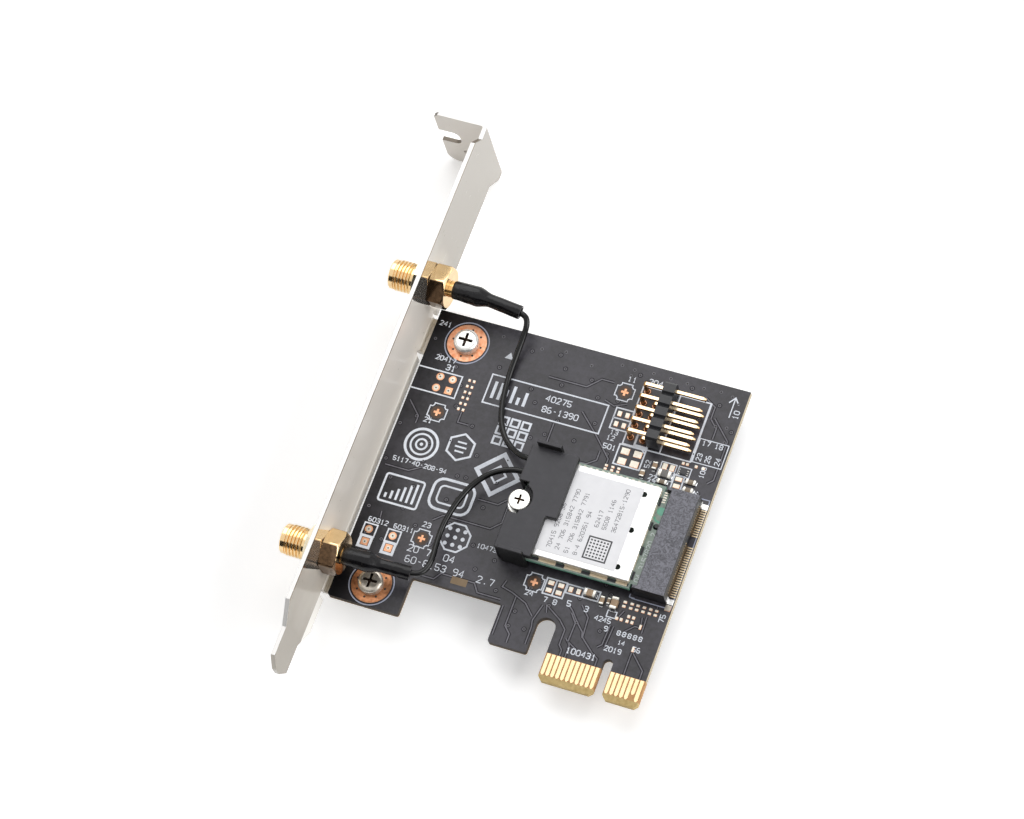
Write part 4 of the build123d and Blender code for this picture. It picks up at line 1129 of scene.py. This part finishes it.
# Traces under the mask, and the vias
trace_mask = solder_mask("trace_mask", (88, 86, 94), (112, 110, 118), (84, 82, 90), rough=0.34)
traces = (
    [(1.3, 14.6), (2.7, 12.8), (2.6, 8.9), (4.6, 7.8)],
    [(-0.4, 16.5), (1.3, 15.1), (2.9, 13.2), (4.6, 11.5), (4.9, 10.4)],
    [(2.7, 16.7), (4.7, 14.6), (5.0, 10.5), (7.9, 8.0), (9.2, 7.2), (9.2, 5.6)],
    [(-4.6, 14.5), (-5.5, 11.0), (-5.2, 9.6), (-5.2, 6.0)], [(-3.9, 14.8), (-3.4, 13.2)],
    [(-3.3, 14.4), (-0.4, 12.6), (1.2, 11.0), (1.2, 7.8), (2.0, 6.9), (2.0, 5.6)],
    [(10.0, 14.3), (9.7, 9.6)], [(9.3, 14.4), (9.1, 10.2), (8.3, 9.4)],
    [(14.7, 17.6), (14.9, 16.4)], [(15.5, 18.0), (15.6, 14.5)], [(15.1, 10.3), (15.1, 5.6)],
    [(15.4, 10.3), (18.3, 7.4), (18.3, 5.6)], [(2.0, 9.4), (3.1, 8.3), (3.1, 5.6)],
    [(10.9, 17.9), (10.3, 16.5)],
    [(-13.1, 17.2), (-13.5, 15.8), (-11.2, 15.2), (-8.0, 13.9), (-5.9, 11.8)],
    [(-31.0, 13.4), (-27.0, 13.4), (-26.0, 14.9), (-19.0, 14.9), (-17.8, 13.2), (-12.9, 13.2)],
    [(-42.0, 23.8), (-41.8, 22.4)],
    [(-11.0, 55.0), (-6.9, 51.2), (-2.7, 46.9), (-2.7, 45.9)], [(-3.0, 59.0), (-5.4, 57.9), (-7.5, 58.6)],
    [(11.6, 64.6), (13.9, 63.2), (13.9, 60.6)],
    [(-11.5, 44.6), (-6.5, 44.7), (-4.8, 46.0), (-4.8, 48.0)], [(14.0, 60.5), (15.6, 58.9), (15.6, 56.6)],
    [(14.6, 60.9), (18.6, 56.9), (18.6, 48.4), (17.6, 47.4)],
    [(-34.2, 48.2), (-34.2, 45.9), (-31.9, 45.9)],
    [(-20.0, 60.3), (-12.0, 60.3), (-9.6, 62.7), (-7.0, 62.7)],
    [(-45.0, 33.4), (-40.0, 33.4), (-37.4, 35.0)],
    [(-31.6, 24.9), (-29.9, 26.4), (-20.0, 26.4), (-18.2, 28.2), (-18.2, 32.0)],
    [(-45.2, 47.9), (-42.3, 45.0), (-42.3, 43.4)], [(-24.5, 31.6), (-20.3, 31.6), (-18.9, 33.0)],
    [(-15.6, 51.0), (-15.6, 47.0), (-13.2, 44.8)], [(16.8, 20.2), (16.8, 20.6)],
    [(-12.0, 12.2), (-12.0, 6.0)],
    [(-10.2, 14.6), (-10.2, 8.4), (-8.8, 7.0), (-8.8, 5.2)], [(12.3, 13.9), (13.9, 15.5), (14.7, 15.5)],
)
clearance_mask = solder_mask("clearance_mask", (26, 25, 28), (46, 44, 49), (30, 28, 32), rough=0.46)
clearance_mask.set(Specular_IOR_Level=0.12)
raised, sunk, trace_wide, gap_wide = Marks(0.0, 0.012), Marks(0.0, 0.006), 0.24, 0.62
for route in traces:
    raised.line(route, trace_wide)
    sunk.line(route, gap_wide)
raised.finish("board_traces", trace_mask)

via_rings, via_spots, via_r, via_wide = Marks(0.0, 0.014), [], 0.27, 0.13


def make_via(x, y, hole):
    via_spots.append((x, y))
    via_rings.loop(x, y, via_r, via_wide, sides=16)
    holes.dot(x, y, hole, 10)


def takes_via(x, y):
    """Whether a place is on the mask and clear of the contacts, the ground rings and the pads."""
    on_short_tongue = -11.6 < x < -5.5
    on_long_tongue = 2.0 < x < 18.5 and y > 7.5 and abs(x - 11.5) > 2
    on_mask = (y > 14.5 or on_short_tongue or on_long_tongue) and x < 18.8 and y < 67.3
    near_ring = any(math.hypot(x - screw_x, y - ring_y) < 5.2 for ring_y in screw_ys)
    on_pad = any(abs(x - px) < wide and abs(y - py) < high for px, py, wide, high in plain_pads)
    return on_mask and not near_ring and not on_pad


draw = random.Random(11)
for column in range(12):
    for row in range(11):
        x = -43.5 + 5.6 * column + draw.uniform(-2.2, 2.2)
        y = 7.0 + 5.7 * row + draw.uniform(-2.2, 2.2)
        if takes_via(x, y):
            make_via(x, y, 0.15)
            sunk.loop(x, y, 0.44, 0.16, sides=16)
edge_vias = (
    (-6.7, 66.7), (-4.0, 66.4), (-4.3, 65.0), (-0.1, 66.7), (3.5, 66.6), (7.0, 66.5), (10.5, 66.4),
    (14.0, 66.6), (16.5, 66.2), (18.1, 65.1), (11.7, 63.8), (15.3, 59.3), (17.5, 59.6), (18.1, 56.5),
    (-18.5, 66.3), (-23.4, 65.6), (-12.6, 64.9), (-31.8, 66.0),
)
for x, y in edge_vias:
    make_via(x, y, 0.18)
via_rings.finish("via_rings", trace_mask)
sunk.finish("trace_gaps", clearance_mask)
holes.finish("via_holes", hole_dark)

# The module's label and board print
label_ink = thin_coat("label_ink", (104, 104, 110), 10)
dark_ink_and_shade = thin_coat("dark_ink_and_shade", (58, 58, 62), 6)
label_top_z, module_top_z, shield_foot_y, shield_side_x = 4.43, 3.0, 22.10, 10.90
label_print, label_grid = Marks(label_top_z, 0.012), Marks(label_top_z, 0.012)
label_lines = (
    ("70415 9208 36", -6.10, 24.6, 1.02), ("24 706 315842 7790", -4.40, 24.7, 1.0),
    ("51 706 315842 7791", -2.50, 24.5, 1.0), ("8-4 620351 94", -0.70, 24.6, 1.0),
    ("62417", 1.40, 31.2, 1.0), ("5508 1146", 3.00, 31.1, 1.0), ("36472815-1290", 4.95, 31.0, 1.0),
)
for text, x, y, height in label_lines:
    label_print.digits(text, x, y, height * 0.78, 90, weight=0.13)
label_grid.box(0.55, 24.6, 5.05, 29.1, 0.30)
for x, y in grid(6, 6, 1.15, 25.2, 0.66, 0.66):
    label_grid.patch(x, y, 0.36, 0.36)
label_print.finish("label_print", label_ink, "label_film")
label_grid.finish("label_grid", dark_ink_and_shade, "label_film")

strip_ink = thin_coat("strip_ink", (216, 224, 224), 8)
strip_pad = thin_coat("strip_pad", (112, 192, 164), 8, rough=0.35, grain=0.4, depth=0.004)
module_print, module_pads = Marks(module_top_z, 0.015), Marks(module_top_z, 0.012)
module_tin = Marks(module_top_z, 0.05)
module_print.digits("04 3157820 2", 12.35, 23.2, 0.95, 90, weight=0.17)
module_pads.dot(11.75, 38.3, 0.86, 24)
module_pads.line([(10.75, 36.9), (11.3, 36.2), (12.0, 36.0), (12.7, 36.3)], 0.42)
for x, y in grid(1, 5, 11.5, 40.2, 0, 0.5):
    module_tin.patch(x, y, 0.7, 0.24)
for x, y in grid(16, 1, -9.4, 43.02, 1.25, 0):
    module_tin.patch(x, y, 0.5, 0.26)
shield_feet, module_gap_shade = Marks(module_top_z, 0.02), Marks(module_top_z, 0.01)
for x0, x1 in ((-10.5, -9.6), (-7.8, -4.3), (-2.5, 1.0), (2.8, 6.3), (8.1, 10.4)):
    shield_feet.patch((x0 + x1) / 2, shield_foot_y, x1 - x0, 0.56)
# Dark marks in the gaps along the shield's foot and side, and in one hole of the strip: painted shade.
module_gap_shade.patch(0.07, shield_foot_y, 21.1, 0.62)
module_gap_shade.dot(11.85, 35.2, 0.42, 24)
for y in (24.2, 29.5, 34.8, 40.1):
    module_gap_shade.patch(shield_side_x, y, 0.46, 1.8)
module_print.finish("module_print", strip_ink, "green_board")
module_pads.finish("module_pads", strip_pad, "green_board")
module_tin.finish("module_tin_pads", pad_tin, "tin_shield")
feet_tin = thin_coat("feet_tin", (214, 198, 170), 12, rough=0.35, grain=0.4, depth=0.006, metal=0.4)
shield_feet.finish("shield_feet", feet_tin, "tin_shield")
module_gap_shade.finish("module_gap_shade", dark_ink_and_shade, "green_board")


# The back of the board, drawn as it is seen from behind, with x running the other way

back_print, back_traces = Marks(-1.60, 0.03, True), Marks(-1.582, 0.012, True)
back_rings, back_tin = Marks(-1.584, 0.014, True), Marks(-1.61, 0.04, True)
for x, y in via_spots:
    back_rings.loop(-x, y, via_r, via_wide, sides=16)
back_numbers = (("20 71 04", -2.0, 44.0, 1.6), ("3508-1164", -2.0, 41.2, 1.3), ("62", 6.0, 61.0, 1.1),
                ("15", -8.0, 30.0, 1.1), ("34", 22.0, 52.5, 1.1), ("9", 33.0, 20.0, 1.1))
for number in back_numbers:
    back_print.digits(*number)
for x0, y0, x1, y1 in ((-4.2, 50.8, 1.6, 64.4), (18.0, 24.0, 31.0, 30.0), (-9.0, 25.0, -4.0, 29.0)):
    back_print.box(x0, y0, x1, y1, 0.26)
for k in range(9):
    back_print.patch(19.5 + 1.25 * k, 27.0, 0.35 + 0.12 * (k % 3), 3.6)
for x in (-8.3, -4.8):
    back_tin.patch(x, 27.0, 1.1, 1.6)
for x, y in grid(7, 1, 34.0, 47.0, -3.1, 0):
    back_tin.dot(x, y, 0.62, 20)
back_routes = (
    [(-17.0, 60.0), (-17.0, 40.0), (-12.0, 35.0), (-12.0, 12.0), (-9.0, 9.0), (-9.0, 6.2)],
    [(-15.6, 58.0), (-15.6, 42.0), (-10.6, 37.0), (-10.6, 14.0), (-7.0, 10.4), (-7.0, 6.2)],
    [(-2.5, 49.0), (-2.5, 33.0), (4.0, 26.5), (14.0, 26.5), (16.5, 24.0), (16.5, 15.0)],
    [(0.5, 49.5), (0.5, 36.5), (7.0, 30.0), (16.0, 30.0)],
    [(4.0, 62.0), (15.0, 62.0), (20.0, 57.0), (33.0, 57.0)],
    [(4.0, 65.0), (26.0, 65.0), (31.0, 60.0), (31.0, 50.0)], [(20.0, 45.0), (20.0, 36.0), (25.0, 31.0)],
    [(34.0, 44.0), (34.0, 28.0), (28.0, 22.0), (18.0, 22.0), (14.0, 18.0), (14.0, 14.0)],
    [(38.0, 50.0), (38.0, 24.0), (32.0, 18.0), (32.0, 15.0)], [(-4.0, 22.0), (6.0, 22.0), (11.0, 17.0)],
)
for route in back_routes:
    back_traces.line(route, 0.26)
back_print.finish("back_print", ink)
back_traces.finish("back_traces", trace_mask)
back_rings.finish("back_via_rings", trace_mask)
back_tin.finish("back_pads", pad_tin, "tin_shield")


def make_tail_solder():
    """A cone of solder round each of the header's pins where it comes out under the board."""
    bm = bmesh.new()
    profile = ((0.86, -1.575), (0.66, -1.74), (0.53, -2.00), (0.44, -2.36), (0.30, -2.46))
    for x, y in pin_places:
        skin(bm, [[Vector((*p, z)) for p in round_points(x, y, r, 20)] for r, z in profile])
    mesh_piece("tail_solder", bm, solder, smooth=50)


make_tail_solder()


# Floor and light

def flat_sheet(name, corners, shade):
    bm = bmesh.new()
    bm.faces.new([bm.verts.new(corner) for corner in corners])
    data = bpy.data.meshes.new(name)
    bm.to_mesh(data)
    bm.free()
    data.materials.append(shade.material)
    return new_object(name, data)


def make_floor(rim=1.6, z=-6.75 * MM, glow=0.38):
    """A white sheet under the part, which lights it less than it shows."""
    shade = Shade("floor_paper", (250, 250, 250), 0.9)
    shade.bump(shade.noise(3.0), 0.02)
    shade.set(Emission_Color=(1, 1, 1, 1), Emission_Strength=shade.times(shade.seen(), glow))
    corners = ((-rim, -rim, z), (rim, -rim, z), (rim, rim, z), (-rim, rim, z))
    floor = flat_sheet("floor", corners, shade)


def make_world(lighting=0.36, shown=1.0):
    """White all round, which lights the part less than it shows."""
    world = bpy.data.worlds.new("studio")
    world.use_nodes = True
    bpy.context.scene.world = world
    nodes = Nodes(world.node_tree)
    back = nodes.tree.nodes["Background"]
    nodes.join(back, "Color", (1, 1, 1, 1))
    nodes.join(back, "Strength", nodes.spread(nodes.seen(), lighting, shown))


def make_flag(wide=0.80, near=-0.80, low=0.05, high=0.85):
    """A dark card beyond the near side, which the cameras don't see: it gives metal its edges."""
    corners = ((-wide, near, low), (wide, near, low), (wide, near, high), (-wide, near, high))
    flag = flat_sheet("dark_card", corners, Shade("card_black", (18, 18, 18), 0.9))
    flag.visible_camera = False


make_floor()
make_world()
make_flag()
target = (-0.015, 0.035, 0.0)
make_lamp("key", (-0.20, 0.75, 0.85), target, (1.0, 1.0), 6.2)
make_lamp("fill", (0.92, 0.06, 0.46), target, (0.85, 0.85), 7.6)

scene = bpy.context.scene
scene.view_settings.view_transform = "Standard"
